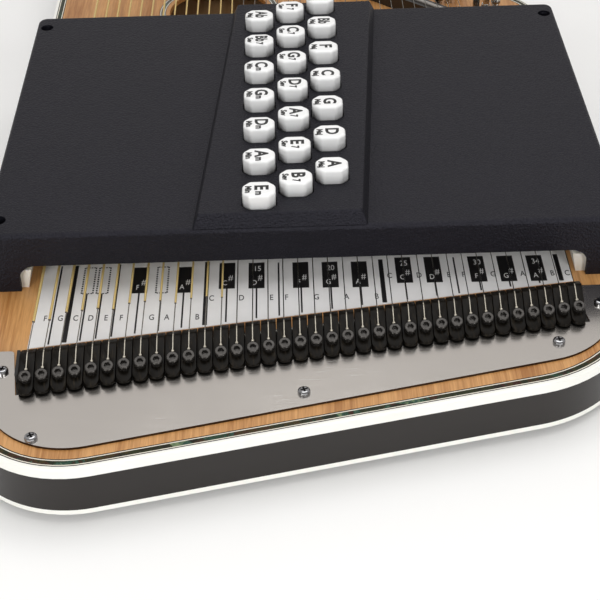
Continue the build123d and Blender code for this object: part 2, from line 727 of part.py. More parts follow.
def button(index):
    x = BUTTON_MIDDLE_X + (index % 3 - 1) * BUTTON_COLUMN_PITCH
    top = COVER_HEIGHT + COVER_RAISE + BUTTON_PROUD
    height = BUTTON_PROUD + BUTTON_SKIRT
    cap = Box(BUTTON_X, BUTTON_Y, height, align=(Align.CENTER, Align.CENTER, Align.MIN))
    cap = chamfer(cap.edges().filter_by(Axis.Z), BUTTON_CORNER)
    cap = chamfer(cap.edges().group_by(Axis.Z)[-1], BUTTON_BEVEL)
    bar_top = BAR_BOTTOM + BAR_HEIGHT
    stem_height = top - height - bar_top
    stem = Pos(0, 0, -stem_height / 2) * Box(STEM_X, STEM_Y, stem_height)
    return Pos(x, bar_y(index), TOP + top - height) * (cap + stem)


def chord_bar(index):
    y = bar_y(index)
    bar = block((BAR_LEFT, BAR_RIGHT), (y - BAR_WIDTH / 2, y + BAR_WIDTH / 2),
                (TOP + BAR_BOTTOM, TOP + BAR_BOTTOM + BAR_HEIGHT))
    bar = chamfer(bar.edges().filter_by(Axis.X), 0.5)
    return [bar, felt(index), button(index)]


def bar_holder(foot, out):
    """Slotted comb that guides the bar ends, screwed down by a lug at each end."""
    outer = foot + out * (HOLDER_WIDTH - HOLDER_FLARE)
    inner = foot - out * HOLDER_FLARE
    face = Plane.XZ * polygon((foot, 0), (outer, 0), (outer, HOLDER_HEIGHT), (inner, HOLDER_HEIGHT),
                              (inner, HOLDER_FLARE_HEIGHT))
    comb = Pos(0, HOLDER_BACK, TOP) * extrude(face, amount=HOLDER_BACK - HOLDER_FRONT)
    wide = sorted((outer + out, inner - out))
    for y in ((HOLDER_FRONT - 1, HOLDER_FRONT + HOLDER_LUG), (HOLDER_BACK - HOLDER_LUG, HOLDER_BACK + 1)):
        comb -= block(wide, y, (TOP + HOLDER_LUG_HEIGHT, TOP + HOLDER_HEIGHT + 1))
    slot = sorted((inner - out, inner + out * SLOT_DEPTH))
    half = BAR_WIDTH / 2 + SLOT_SIDE
    for index in range(len(CHORDS)):
        y = bar_y(index)
        comb -= block(slot, (y - half, y + half), (TOP + SLOT_FLOOR, TOP + HOLDER_HEIGHT + 1))
    for x, y in holder_screw_places():
        comb -= upright(x, y, TOP - 1, TOP + HOLDER_LUG_HEIGHT + 1,
                        HOLDER_SCREW_RADIUS + SCREW_HOLE_CLEARANCE)
    return comb


def bar_springs():
    springs = []
    for foot, out in holder_sides():
        x = foot - out * HOLDER_FLARE + out * SLOT_DEPTH / 2
        for index in range(len(CHORDS)):
            coil = Cylinder(SPRING_RADIUS, BAR_BOTTOM - SLOT_FLOOR)
            coil -= Cylinder(SPRING_RADIUS - SPRING_WIRE, BAR_BOTTOM - SLOT_FLOOR)
            springs.append(Pos(x, bar_y(index), TOP + (BAR_BOTTOM + SLOT_FLOOR) / 2) * coil)
    return springs


# ---------------------------------------------------------------- chord bar cover
def raised_plan(inset):
    """Skewed panel that carries the buttons."""
    front = COVER_FRONT + RAISED_FRONT_SET + inset
    back = COVER_BACK - RAISED_FRONT_SET - inset
    half = RAISED_WIDTH / 2 - inset
    middle = (COVER_FRONT + COVER_BACK) / 2
    skew_front = RAISED_X + (front - middle) * tan(RAISED_SKEW)
    skew_back = RAISED_X + (back - middle) * tan(RAISED_SKEW)
    return polygon((skew_front - half, front), (skew_front + half, front),
                   (skew_back + half, back), (skew_back - half, back))


def chord_bar_cover():
    side = BODY_WIDTH / 2 - COVER_SIDE_INSET
    top = TOP + COVER_HEIGHT
    shell = block((-side, side), (COVER_FRONT, COVER_BACK), (TOP, top))
    shell = fillet(shell.edges().filter_by(Axis.Z), COVER_CORNER)
    shell = fillet(shell.edges().group_by(Axis.Z)[-1], COVER_ROUND)
    panel = extrude(Pos(0, 0, top) * raised_plan(0), amount=COVER_RAISE, taper=RAISED_DRAFT)
    slants = [e for e in panel.edges() if 0 < e.center().Z - top < COVER_RAISE * 0.9]
    panel = fillet(slants, RAISED_ROUND)
    panel = fillet(panel.edges().group_by(Axis.Z)[-1], RAISED_ROUND)
    shell += panel + slab(raised_plan(0), top - COVER_WALL, top)
    room = block((COVER_WALL - side, side - COVER_WALL),
                 (COVER_FRONT + COVER_WALL, COVER_BACK - COVER_WALL), (TOP - 1, top - COVER_WALL))
    shrink = COVER_WALL + COVER_RAISE * tan(RAISED_DRAFT)
    room += slab(raised_plan(shrink), top - COVER_WALL - 1, top + COVER_RAISE - COVER_WALL)
    shell -= room
    arch = block((FIRST_X - BASS_FOOT, LAST_X + TREBLE_FOOT), (COVER_FRONT - 1, COVER_BACK + 1),
                 (TOP - 1, TOP + ARCH_HEIGHT))
    corners = [e for e in arch.edges().filter_by(Axis.Y) if e.center().Z > TOP]
    shell -= fillet(corners, ARCH_ROUND)
    for index in range(len(CHORDS)):
        x = BUTTON_MIDDLE_X + (index % 3 - 1) * BUTTON_COLUMN_PITCH
        hole = Box(BUTTON_X + 2 * BUTTON_HOLE_CLEARANCE, BUTTON_Y + 2 * BUTTON_HOLE_CLEARANCE, 12)
        hole = chamfer(hole.edges().filter_by(Axis.Z), BUTTON_CORNER)
        shell -= Pos(x, bar_y(index), top + COVER_RAISE) * hole
    rib_bottom = TOP + BAR_BOTTOM + BAR_HEIGHT + STOP_RIB_GAP
    for x in (BAR_LEFT, BAR_RIGHT - STOP_RIB_WIDTH):
        shell += block((x, x + STOP_RIB_WIDTH), (COVER_FRONT + COVER_WALL, COVER_BACK - COVER_WALL),
                       (rib_bottom, top - COVER_WALL))
    for x, y in cover_screw_places():
        shell += upright(x, y, TOP, top - COVER_WALL, BOSS_RADIUS)
        shell -= upright(x, y, TOP + BOSS_FLOOR, top + 1, BOSS_BORE)
        shell -= upright(x, y, TOP - 1, top, WOOD_SCREW_RADIUS + SCREW_HOLE_CLEARANCE)
    return shell


# ---------------------------------------------------------------- feet
def rubber_foot(x, y):
    pad = Cylinder(FOOT_RADIUS, FOOT_HEIGHT, align=(Align.CENTER, Align.CENTER, Align.MIN))
    pad = fillet(pad.edges().group_by(Axis.Z)[0], FOOT_ROUND)
    pad = Pos(x, y, 0) * pad
    pad -= upright(x, y, -1, FOOT_SCREW_FLOOR + FOOT_SCREW_HEAD_HEIGHT,
                   FOOT_SCREW_HEAD + SCREW_HOLE_CLEARANCE)
    pad -= upright(x, y, -1, FOOT_HEIGHT + 1, FOOT_SCREW_RADIUS + SCREW_HOLE_CLEARANCE)
    return pad


def foot_screw(x, y):
    seat = FOOT_SCREW_FLOOR + FOOT_SCREW_HEAD_HEIGHT
    head = upright(x, y, FOOT_SCREW_FLOOR, seat, FOOT_SCREW_HEAD)
    return head + upright(x, y, seat, seat + FOOT_SCREW_LENGTH, FOOT_SCREW_RADIUS)


# ---------------------------------------------------------------- assembly
def save_body():
    soundboard = slab(outline(BINDING_WIDTH), SOUNDBOARD_UNDER, TOP)
    soundboard -= upright(HOLE_X, HOLE_Y, SOUNDBOARD_UNDER - 1, TOP + 1, HOLE_RADIUS)
    soundboard -= ring(BINDING_WIDTH, PURFLING_EDGES[-1], TOP - PURFLING_DEPTH, TOP)
    soundboard -= rosette()
    soundboard -= tuner_slot(SOUNDBOARD_UNDER - 1)
    soundboard -= pilot_holes(SOUNDBOARD_UNDER - 1) + pin_holes(SOUNDBOARD_UNDER - 1)
    save("soundboard", soundboard)
    save("back_board", slab(outline(BINDING_WIDTH), FOOT_HEIGHT, BACK_TOP) - foot_holes())

    pilots = pilot_holes(SOUNDBOARD_UNDER - COVER_SCREW_LENGTH)
    anchor_block = frame_member(anchor_region()) - tuner_slot(TOP - TUNER_BASE_DEPTH)
    save("anchor_block", anchor_block - pilots - foot_holes())
    pin_block = frame_member(pin_region()) - pin_holes(TOP - PIN_DEPTH) - pilots
    save("pin_block", pin_block - foot_holes())
    side = BODY_WIDTH / 2
    save("bass_rail", frame_member(rail_region(-side - 1, RAIL_WIDTH - side)) - pilots)
    save("treble_rail", frame_member(rail_region(side - RAIL_WIDTH, side + 1)) - pilots)
    braces = []
    for away in BRACE_OFFSETS:
        y = TUNER_Y + away
        brace = block((RAIL_WIDTH - side, side - RAIL_WIDTH), (y - BRACE_WIDTH / 2, y + BRACE_WIDTH / 2),
                      (SOUNDBOARD_UNDER - BRACE_HEIGHT, SOUNDBOARD_UNDER))
        braces.append(brace - slab(pin_region(), BACK_TOP, TOP) - pilots)
    save("soundboard_braces", braces)

    binding = ring(0, BINDING_WIDTH, TOP - TOP_BINDING_HEIGHT, TOP)
    outer_top = [e for e in binding.edges().group_by(Axis.Z)[-1]
                 if e.length > 0 and distance_to_outline(e) < 0.01]
    save("top_binding", fillet(outer_top, BINDING_ROUND))
    save("back_binding", ring(0, BINDING_WIDTH, FOOT_HEIGHT, BACK_TOP))
    save("purfling_black_lines", [purfling_ring(0), purfling_ring(4)])
    save("purfling_white_lines", [purfling_ring(1), purfling_ring(3)])
    save("abalone_inlay", purfling_ring(2))
    save("soundhole_rosette", rosette())


OUTLINE_WIRE = outline().wire()


def distance_to_outline(edge):
    point = edge.position_at(0.5)
    return OUTLINE_WIRE.distance_to(Vector(point.X, point.Y, 0))


def save_tuners():
    save("fine_tuner_base", tuner_base())
    save("fine_tuner_pivot_rod", pivot(PIVOT_RADIUS, LEVER_WIDTH / 2))
    save("fine_tuner_levers", levers())
    save("fine_tuner_screws", [tuner_screw(i) for i in range(STRINGS)])
    save("string_ends", [string_end(i) for i in range(STRINGS)])


def save_strings():
    save("wound_strings", [string(i) for i in range(WOUND_COUNT)])
    save("plain_strings", [string(i) for i in range(WOUND_COUNT, STRINGS)])
    save("tuning_pins", [tuning_pin(i) for i in range(STRINGS)])
    save("bridge_base", bridge_base())
    save("bridge_rods", bridge_rods())


def save_fittings():
    save("anchor_plate", anchor_plate())
    save("anchor_plate_screws",
         [pan_screw(x, y, TOP + PLATE_THICKNESS, PLATE_SCREW_LENGTH, WOOD_SCREW_RADIUS,
                    PAN_HEAD_RADIUS, PAN_HEAD_HEIGHT) for x, y in plate_screw_places()])
    save("note_label", note_label())
    bass, treble = holder_sides()
    save("bar_holder_bass", bar_holder(*bass))
    save("bar_holder_treble", bar_holder(*treble))
    save("bar_holder_screws",
         [pan_screw(x, y, TOP + HOLDER_LUG_HEIGHT, HOLDER_SCREW_LENGTH, HOLDER_SCREW_RADIUS,
                    HOLDER_SCREW_HEAD, HOLDER_SCREW_HEAD_HEIGHT) for x, y in holder_screw_places()])
    save("bar_springs", bar_springs())
    save("chord_bar_cover", chord_bar_cover())
    save("cover_screws",
         [pan_screw(x, y, TOP + BOSS_FLOOR, COVER_SCREW_LENGTH, WOOD_SCREW_RADIUS,
                    PAN_HEAD_RADIUS, PAN_HEAD_HEIGHT) for x, y in cover_screw_places()])
    save("rubber_feet", [rubber_foot(x, y) for x, y in foot_places()])
    save("foot_screws", [foot_screw(x, y) for x, y in foot_places()])


os.makedirs("parts", exist_ok=True)
save_body()
save_tuners()
save_strings()
save_fittings()
for bar_index in range(len(CHORDS)):
    save(f"chord_bar_{bar_index + 1:02d}", chord_bar(bar_index))
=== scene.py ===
import math

import bmesh
import bpy
from mathutils import Matrix, Vector


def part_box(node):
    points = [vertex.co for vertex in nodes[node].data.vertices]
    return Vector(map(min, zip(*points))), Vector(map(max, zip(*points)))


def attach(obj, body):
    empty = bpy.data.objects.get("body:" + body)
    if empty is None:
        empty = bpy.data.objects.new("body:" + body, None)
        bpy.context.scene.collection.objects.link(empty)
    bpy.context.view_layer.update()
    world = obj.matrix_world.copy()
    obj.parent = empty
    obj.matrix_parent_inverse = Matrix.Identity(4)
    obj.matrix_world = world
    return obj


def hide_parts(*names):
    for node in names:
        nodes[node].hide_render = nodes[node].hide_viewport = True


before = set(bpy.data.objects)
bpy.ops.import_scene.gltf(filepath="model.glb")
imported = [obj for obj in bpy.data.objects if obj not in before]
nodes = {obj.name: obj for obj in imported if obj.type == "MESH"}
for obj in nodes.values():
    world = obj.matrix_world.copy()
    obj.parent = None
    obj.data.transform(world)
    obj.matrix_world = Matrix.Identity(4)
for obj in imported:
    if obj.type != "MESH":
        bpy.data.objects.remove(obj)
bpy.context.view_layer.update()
MM = 0.001


# ---------------------------------------------------------------- studio
# A pale seamless floor under the feet, a wide soft light overhead, two narrow ones from the
# front for the small highlights, and a short telephoto lens that looks down over the anchor end.
# The room itself is bright above and beyond the pin end and dim behind the camera.
EYE = Vector((-5.4, -701.0, 439.1)) * MM
YAW, PITCH, ROLL = 0.0047, 0.6632, 0.0274
camera = bpy.data.objects.new("camera", bpy.data.cameras.new("camera"))
bpy.context.scene.collection.objects.link(camera)
camera.data.sensor_width = 36.0
camera.data.lens = 85.46
camera.data.clip_start = 0.01
camera.matrix_world = (Matrix.Translation(EYE) @ Matrix.Rotation(-YAW, 4, "Z")
                       @ Matrix.Rotation(math.pi / 2 - PITCH, 4, "X") @ Matrix.Rotation(-ROLL, 4, "Z"))
bpy.context.scene.camera = camera


def linear(hex_colour):
    """sRGB hex such as 'C8A070' to the linear RGBA that shaders use."""
    channels = [int(hex_colour[i:i + 2], 16) / 255 for i in (0, 2, 4)]
    return [c / 12.92 if c <= 0.04045 else ((c + 0.055) / 1.055) ** 2.4 for c in channels] + [1.0]


def material(name, **shader):
    """A new material whose Principled shader has these inputs set; returns it, its nodes and the shader."""
    new = bpy.data.materials.new(name)
    new.use_nodes = True
    surface = new.node_tree.nodes["Principled BSDF"]
    for socket, value in shader.items():
        surface.inputs[socket.replace("_", " ")].default_value = value
    return new, new.node_tree, surface


def add(tree, kind, inputs=(), feeds=(), **settings):
    """One node with its settings. inputs pairs a socket with a value or another node's output;
    feeds pairs one of its own outputs with the socket that it goes to."""
    new = tree.nodes.new("ShaderNode" + kind)
    for setting, value in settings.items():
        setattr(new, setting, value)
    for socket, value in dict(inputs).items():
        if isinstance(value, bpy.types.NodeSocket):
            tree.links.new(value, new.inputs[socket])
        else:
            new.inputs[socket].default_value = value
    for output, target in feeds:
        tree.links.new(new.outputs[output], target)
    return new


def shades(tree, surface, value, dark, light):
    """Colours the surface from dark to light as this output goes from 0 to 1; returns the ramp."""
    tint = add(tree, "ValToRGB", {"Fac": value}, [("Color", surface.inputs["Base Color"])])
    tint.color_ramp.elements[0].color, tint.color_ramp.elements[1].color = linear(dark), linear(light)
    return tint


paper_sweep, tree, surface = material("matt_white_floor", Base_Color=linear("F6F6F5"), Roughness=0.7)
floor_mesh = bpy.data.meshes.new("floor")
shape = bmesh.new()
bmesh.ops.create_grid(shape, x_segments=1, y_segments=1, size=4.0)
shape.to_mesh(floor_mesh)
floor = bpy.data.objects.new("floor", floor_mesh)
bpy.context.scene.collection.objects.link(floor)
floor.data.materials.append(paper_sweep)

world = bpy.data.worlds.new("soft_room")
world.use_nodes = True
tree, sky = world.node_tree, world.node_tree.nodes["Background"]
sky.inputs["Color"].default_value = linear("F9F6F4")
way = add(tree, "TexCoord")
rise = add(tree, "VectorMath", {0: way.outputs["Generated"], 1: (0.0, 0.6, 0.35)}, operation="DOT_PRODUCT")
add(tree, "MapRange", {"Value": rise.outputs["Value"], "From Min": -0.5, "From Max": 0.5, "To Min": 0.12,
                       "To Max": 0.64}, [("Result", sky.inputs["Strength"])])
bpy.context.scene.world = world
bpy.context.scene.view_settings.view_transform = "Standard"
for name, place, aim, width, height, power in (
        ("overhead", (0.15, 0.1, 1.6), (0.0, -0.1, 0.0), 1.3, 1.3, 11.0),
        ("front_left", (-0.75, -1.5, 0.75), (0.0, -0.2, 0.03), 0.35, 0.9, 10.0),
        ("front_right", (0.75, -1.5, 0.75), (0.0, -0.2, 0.03), 0.35, 0.9, 10.0)):
    lamp = bpy.data.lights.new(name, "AREA")
    lamp.shape = "RECTANGLE"
    lamp.size = width
    lamp.size_y = height
    lamp.energy = power
    light = bpy.data.objects.new(name, lamp)
    light.location = place
    light.rotation_euler = (Vector(aim) - Vector(place)).to_track_quat("-Z", "Y").to_euler()
    bpy.context.scene.collection.objects.link(light)


# ---------------------------------------------------------------- lacquered body box
# Rails of hardwood and two end blocks glued round the edge, under and over which the boards
# are glued. Outside they are filled, sprayed with black lacquer and buffed to a deep gloss.
def finish(made, *names):
    """Gives CAD nodes this material."""
    for name in names:
        for place in nodes[name].material_slots:
            place.material = made


# Lacquer, sprayed and buffed: a dark brown-black under a clear mirror coat with faint waves,
# 3 mm from crest to crest, left from spraying.
black_lacquer, tree, surface = material("black_lacquer_buffed_to_gloss", Roughness=0.3,
                                        Specular_IOR_Level=0.1,
                                        Coat_Weight=0.7, Coat_Roughness=0.05)
place = add(tree, "TexCoord")
cloud = add(tree, "TexNoise", {"Vector": place.outputs["Object"], "Scale": 1 / 0.045, "Detail": 3.0})
add(tree, "ValToRGB", {"Fac": cloud.outputs["Fac"]}, [("Color", surface.inputs["Base Color"])])
ramp = tree.nodes["Color Ramp"].color_ramp
ramp.elements[0].color, ramp.elements[1].color = linear("140F0C"), linear("1A1410")
waves = add(tree, "TexNoise", {"Vector": place.outputs["Object"], "Scale": 1 / 0.003, "Detail": 1.0})
add(tree, "Bump", {"Height": waves.outputs["Fac"], "Distance": 0.00001, "Strength": 0.25},
    [("Normal", surface.inputs["Coat Normal"])])
finish(black_lacquer, "bass_rail", "treble_rail", "anchor_block", "pin_block")


# ---------------------------------------------------------------- back board and braces
# The back is plywood, lacquered black outside like the rails and bare inside, where it shows
# through the sound hole. Two light spruce braces are glued under the soundboard.
def wood(name, dark, light, line_mm, contrast, roughness, coat):
    """Straight-grained wood: growth lines that far apart along Y, with pores and slow cloudy changes."""
    made, tree, surface = material(name, Roughness=roughness, IOR=1.5, Coat_Weight=coat, Coat_Roughness=0.12)
    place = add(tree, "TexCoord")
    drift = add(tree, "TexNoise", {"Vector": place.outputs["Object"], "Scale": 1 / 0.16, "Detail": 2.0})
    bend = add(tree, "VectorMath", {0: drift.outputs["Color"], 1: (0.006, 0.0, 0.006)}, operation="MULTIPLY")
    bent = add(tree, "VectorMath", {0: place.outputs["Object"], 1: bend.outputs["Vector"]}, operation="ADD")
    long_way = add(tree, "Mapping", {"Vector": bent.outputs["Vector"], "Scale": (1.0, 0.03, 1.0)})
    lines = add(tree, "TexNoise", {"Vector": long_way.outputs["Vector"], "Scale": 1000 / line_mm,
                                   "Detail": 2.0, "Roughness": 0.6})
    bands = add(tree, "TexNoise", {"Vector": long_way.outputs["Vector"], "Scale": 1000 / line_mm / 9,
                                   "Detail": 1.0})
    cloud = add(tree, "TexNoise", {"Vector": place.outputs["Object"], "Scale": 1 / 0.05, "Detail": 3.0})
    pores = add(tree, "Mapping", {"Vector": place.outputs["Object"], "Scale": (1.0, 0.06, 1.0)})
    fine = add(tree, "TexNoise", {"Vector": pores.outputs["Vector"], "Scale": 1 / 0.00035, "Detail": 1.0})
    both = add(tree, "Math", {0: lines.outputs["Fac"], 1: bands.outputs["Fac"]}, operation="ADD")
    more = add(tree, "MapRange", {"Value": both.outputs["Value"], "From Min": 0.75, "From Max": 1.25,
                                  "To Min": 0.5 - contrast, "To Max": 0.5 + contrast})
    clouded = add(tree, "MapRange", {"Value": cloud.outputs["Fac"], "From Min": 0.3, "From Max": 0.7,
                                     "To Min": -0.18, "To Max": 0.18})
    total = add(tree, "Math", {0: more.outputs["Result"], 1: clouded.outputs["Result"]}, operation="ADD")
    grained = add(tree, "ValToRGB", {"Fac": total.outputs["Value"]})
    grained.color_ramp.elements[0].color, grained.color_ramp.elements[1].color = linear(dark), linear(light)
    flecks = add(tree, "MapRange", {"Value": fine.outputs["Fac"], "From Min": 0.3, "From Max": 0.7,
                                    "To Min": 0.90, "To Max": 1.06})
    add(tree, "Mix", {6: grained.outputs["Color"], 7: flecks.outputs["Result"], "Factor": 1.0},
        [(2, surface.inputs["Base Color"])], data_type="RGBA", blend_type="MULTIPLY")
    add(tree, "Bump", {"Height": fine.outputs["Fac"], "Distance": 0.00003, "Strength": 0.3},
        [("Normal", surface.inputs["Normal"])])
    return made, tree, surface


# Birch plywood, sanded and bare: pale, matt, with faint lines 1.5 mm apart.
bare_ply, tree, surface = wood("birch_plywood_black_outside", "B48A5A", "D9B888", 1.5, 0.25, 0.6, 0.0)
colour = surface.inputs["Base Color"].links[0].from_socket
place = add(tree, "TexCoord")
across = add(tree, "SeparateXYZ", {0: place.outputs["Object"]})
inside = add(tree, "Math", {0: across.outputs["Z"], 1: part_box("back_board")[1].z - 0.0002},
             operation="GREATER_THAN")
add(tree, "Mix", {"Factor": inside.outputs["Value"], 6: linear("17110E"), 7: colour},
    [(2, surface.inputs["Base Color"])], data_type="RGBA")
add(tree, "MapRange", {"Value": inside.outputs["Value"], "To Min": 0.12, "To Max": 0.6},
    [("Result", surface.inputs["Roughness"])])
finish(bare_ply, "back_board")
# Spruce, planed and bare: pale yellow, matt, with fine lines 1.2 mm apart.
brace_spruce, tree, surface = wood("planed_bare_spruce", "C49A62", "E6C997", 1.2, 0.3, 0.65, 0.0)
finish(brace_spruce, "soundboard_braces")


# ---------------------------------------------------------------- soundboard
# Two bookmatched leaves of quarter-sawn spruce, 3 mm thick, glued on the rails and blocks and
# sealed with a thin satin varnish that has turned the wood honey coloured.
# Spruce under varnish: dark late-wood lines 1.1 mm apart over a warm ground, and a soft sheen.
top_spruce, tree, surface = wood("quarter_sawn_spruce_varnished", "9C6630", "CC985E", 1.1, 0.48, 0.4, 0.2)
finish(top_spruce, "soundboard")


# ---------------------------------------------------------------- bindings
# Strips of white ABS bent hot round both edges of the body, glued in a rebate and scraped
# flush, with the outer corner rounded over.
# ABS, scraped and buffed: bright, slightly warm white with a soft sheen and faint scraper marks.
white_abs, tree, surface = material("white_abs_binding_buffed", Roughness=0.28, IOR=1.53,
                                    Subsurface_Weight=0.08, Subsurface_Radius=(0.002, 0.002, 0.0015))
place = add(tree, "TexCoord")
cloud = add(tree, "TexNoise", {"Vector": place.outputs["Object"], "Scale": 1 / 0.03, "Detail": 3.0})
shades(tree, surface, cloud.outputs["Fac"], "EDECE4", "F7F7F2")
marks = add(tree, "TexNoise", {"Vector": place.outputs["Object"], "Scale": 1 / 0.0012, "Detail": 2.0})
add(tree, "Bump", {"Height": marks.outputs["Fac"], "Distance": 0.00001, "Strength": 0.3},
    [("Normal", surface.inputs["Normal"])])
finish(white_abs, "top_binding", "back_binding")


# ---------------------------------------------------------------- purfling and shell inlay
# Thin dyed fibre lines on both sides of a band of abalone, let into the soundboard inside the
# binding. The shell is cut in short straight strips that butt against each other.
# Vulcanised fibre, dyed and levelled with the top: nearly black, satin, faintly mottled.
for name, dark, light, node in (("black_dyed_fibre", "0E0B09", "191411", "purfling_black_lines"),
                                ("white_fibre", "D8D2C2", "ECE7DA", "purfling_white_lines")):
    fibre, tree, surface = material(name, Roughness=0.4, Specular_IOR_Level=0.2)
    place = add(tree, "TexCoord")
    mottle = add(tree, "TexNoise", {"Vector": place.outputs["Object"], "Scale": 1 / 0.002, "Detail": 2.0})
    shades(tree, surface, mottle.outputs["Fac"], dark, light)
    finish(fibre, node)


def shell_colours(tree, place):
    """Abalone: strips 9 mm long of one tone each, with finer wavy growth bands of other colours."""
    strips = add(tree, "TexVoronoi", {"Vector": place, "Scale": 1 / 0.009})
    tone = add(tree, "SeparateColor", {0: strips.outputs["Color"]})
    bands = add(tree, "TexNoise", {"Vector": place, "Scale": 1 / 0.0045, "Detail": 4.0, "Distortion": 1.5})
    mixed = add(tree, "Math", {0: tone.outputs[0], 1: 0.55}, operation="MULTIPLY")
    sum_up = add(tree, "Math", {0: bands.outputs["Fac"], 1: 0.6, 2: mixed.outputs["Value"]},
                 operation="MULTIPLY_ADD")
    colours = add(tree, "ValToRGB", {"Fac": sum_up.outputs["Value"]})
    ramp = colours.color_ramp
    ramp.elements[0].position, ramp.elements[0].color = 0.22, linear("0E0B06")
    ramp.elements[1].position, ramp.elements[1].color = 0.92, linear("6E7F5A")
    for position, colour in ((0.34, "1A160A"), (0.44, "2A3010"), (0.52, "141E12"), (0.60, "3E3410"),
                             (0.68, "38140E"), (0.76, "1C3A24"), (0.84, "2A4A40")):
        ramp.elements.new(position).color = linear(colour)
    return colours


# Abalone, ground and lacquered: dark green, olive and red flashes under a thin lacquer.
abalone, tree, surface = material("abalone_shell_under_lacquer", Roughness=0.3, Metallic=0.2,
                                  Specular_IOR_Level=0.2, Coat_Weight=0.25, Coat_Roughness=0.1)
place = add(tree, "TexCoord")
tree.links.new(shell_colours(tree, place.outputs["Object"]).outputs["Color"], surface.inputs["Base Color"])
finish(abalone, "abalone_inlay")


# ---------------------------------------------------------------- sound hole rosette
# A ring of the same abalone between black and white fibre lines, let into the top round the hole.
HOLE = (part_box("soundhole_rosette")[0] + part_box("soundhole_rosette")[1]) / 2
ROSETTE_OUT = (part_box("soundhole_rosette")[1].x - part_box("soundhole_rosette")[0].x) / 2
ROSETTE_WIDTH = 4 * MM
rosette, tree, surface = material("rosette_of_fibre_and_abalone", Roughness=0.3, Coat_Weight=0.8,
                                  Coat_Roughness=0.08)
place = add(tree, "TexCoord")
shell = shell_colours(tree, place.outputs["Object"])
centred = add(tree, "Mapping", {"Vector": place.outputs["Object"], "Location": (-HOLE.x, -HOLE.y, 0.0),
                                "Scale": (1.0, 1.0, 0.0)})
reach = add(tree, "VectorMath", {0: centred.outputs["Vector"]}, operation="LENGTH")
ring = add(tree, "MapRange", {"Value": reach.outputs["Value"], "From Min": ROSETTE_OUT - ROSETTE_WIDTH,
                              "From Max": ROSETTE_OUT})
lines = add(tree, "ValToRGB", {"Fac": ring.outputs["Result"]})
lines.color_ramp.interpolation = "CONSTANT"
lines.color_ramp.elements[0].color, lines.color_ramp.elements[1].color = linear("15110E"), linear("15110E")
lines.color_ramp.elements[1].position = 0.88
for position, colour in ((0.12, "E6E1D3"), (0.24, "000000"), (0.76, "E6E1D3")):
    lines.color_ramp.elements.new(position).color = linear(colour)
shown = add(tree, "ValToRGB", {"Fac": ring.outputs["Result"]})
shown.color_ramp.interpolation = "CONSTANT"
shown.color_ramp.elements[0].color, shown.color_ramp.elements[1].color = (0, 0, 0, 1), (0, 0, 0, 1)
shown.color_ramp.elements[1].position = 0.76
shown.color_ramp.elements.new(0.24).color = (1, 1, 1, 1)
add(tree, "Mix", {"Factor": shown.outputs["Color"], 6: lines.outputs["Color"], 7: shell.outputs["Color"]},
    [(2, surface.inputs["Base Color"])], data_type="RGBA")
finish(rosette, "soundhole_rosette")


# ---------------------------------------------------------------- anchor plate
# A stamped steel plate, 1.2 mm thick, that guards the top at the anchor end. It is cut out round
# the fine tuners, buffed and nickel plated, and held by five screws.
# Buffed nickel: a soft mirror, slightly warm, with hair scratches from the buffing wheel.
# The sheared edge of the sheet is painted dark: partly its rough burr under the plating, partly a painted
# dark reflection of the dim room in front of it.
nickel, tree, surface = material("bright_nickel_plate_buffed", Metallic=1.0)
place = add(tree, "TexCoord")
# Faces that point up get the nickel; every other face, the sheet's edge, gets a dark colour that is partly
# painted reflection.
facing = add(tree, "SeparateXYZ", {0: place.outputs["Normal"]})
flat = add(tree, "Math", {0: facing.outputs["Z"], 1: 0.5}, operation="GREATER_THAN")
add(tree, "Mix", {"Factor": flat.outputs["Value"], 6: linear("4A4038"), 7: linear("D9D4CE")},
    [(2, surface.inputs["Base Color"])], data_type="RGBA")
wiped = add(tree, "Mapping", {"Vector": place.outputs["Object"], "Scale": (0.04, 1.0, 1.0)})
hair = add(tree, "TexNoise", {"Vector": wiped.outputs["Vector"], "Scale": 1 / 0.0005, "Detail": 2.0})
smear = add(tree, "TexNoise", {"Vector": place.outputs["Object"], "Scale": 1 / 0.05, "Detail": 3.0})
dull = add(tree, "Math", {0: smear.outputs["Fac"], 1: hair.outputs["Fac"]}, operation="MULTIPLY")
add(tree, "MapRange", {"Value": dull.outputs["Value"], "From Min": 0.1, "From Max": 0.5, "To Min": 0.18,
                       "To Max": 0.30}, [("Result", surface.inputs["Roughness"])])
finish(nickel, "anchor_plate")


# ---------------------------------------------------------------- anchor plate screws
# Five steel pan head screws with a cross recess, chrome plated, that pass the plate and the
# soundboard into the anchor block.
def solids(name):
    """Lowest and highest corner of each separate solid of a CAD node."""
    shape = bmesh.new()
    shape.from_mesh(nodes[name].data)
    bmesh.ops.remove_doubles(shape, verts=shape.verts, dist=0.000005)
    left, found = set(shape.verts), []
    while left:
        reach = [left.pop()]
        for corner in reach:
            for edge in corner.link_edges:
                other = edge.other_vert(corner)
                if other in left:
                    left.discard(other)
                    reach.append(other)
        found.append((Vector([min(v.co[i] for v in reach) for i in range(3)]),
                      Vector([max(v.co[i] for v in reach) for i in range(3)])))
    shape.free()
    return sorted(found, key=lambda pair: (round(pair[0].x, 5), pair[0].y))


def piece(shape, name, body, *made, stands_for=(), smooth=True):
    """A mesh object of this bmesh that rides on that body and stands for those CAD nodes."""
    mesh = bpy.data.meshes.new(name)
    shape.to_mesh(mesh)
    shape.free()
    for face in mesh.polygons:
        face.use_smooth = smooth
    for finish_of in made:
        mesh.materials.append(finish_of)
    new = bpy.data.objects.new(name, mesh)
    bpy.context.scene.collection.objects.link(new)
    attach(new, body)
    if stands_for:
        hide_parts(*stands_for)
    return new


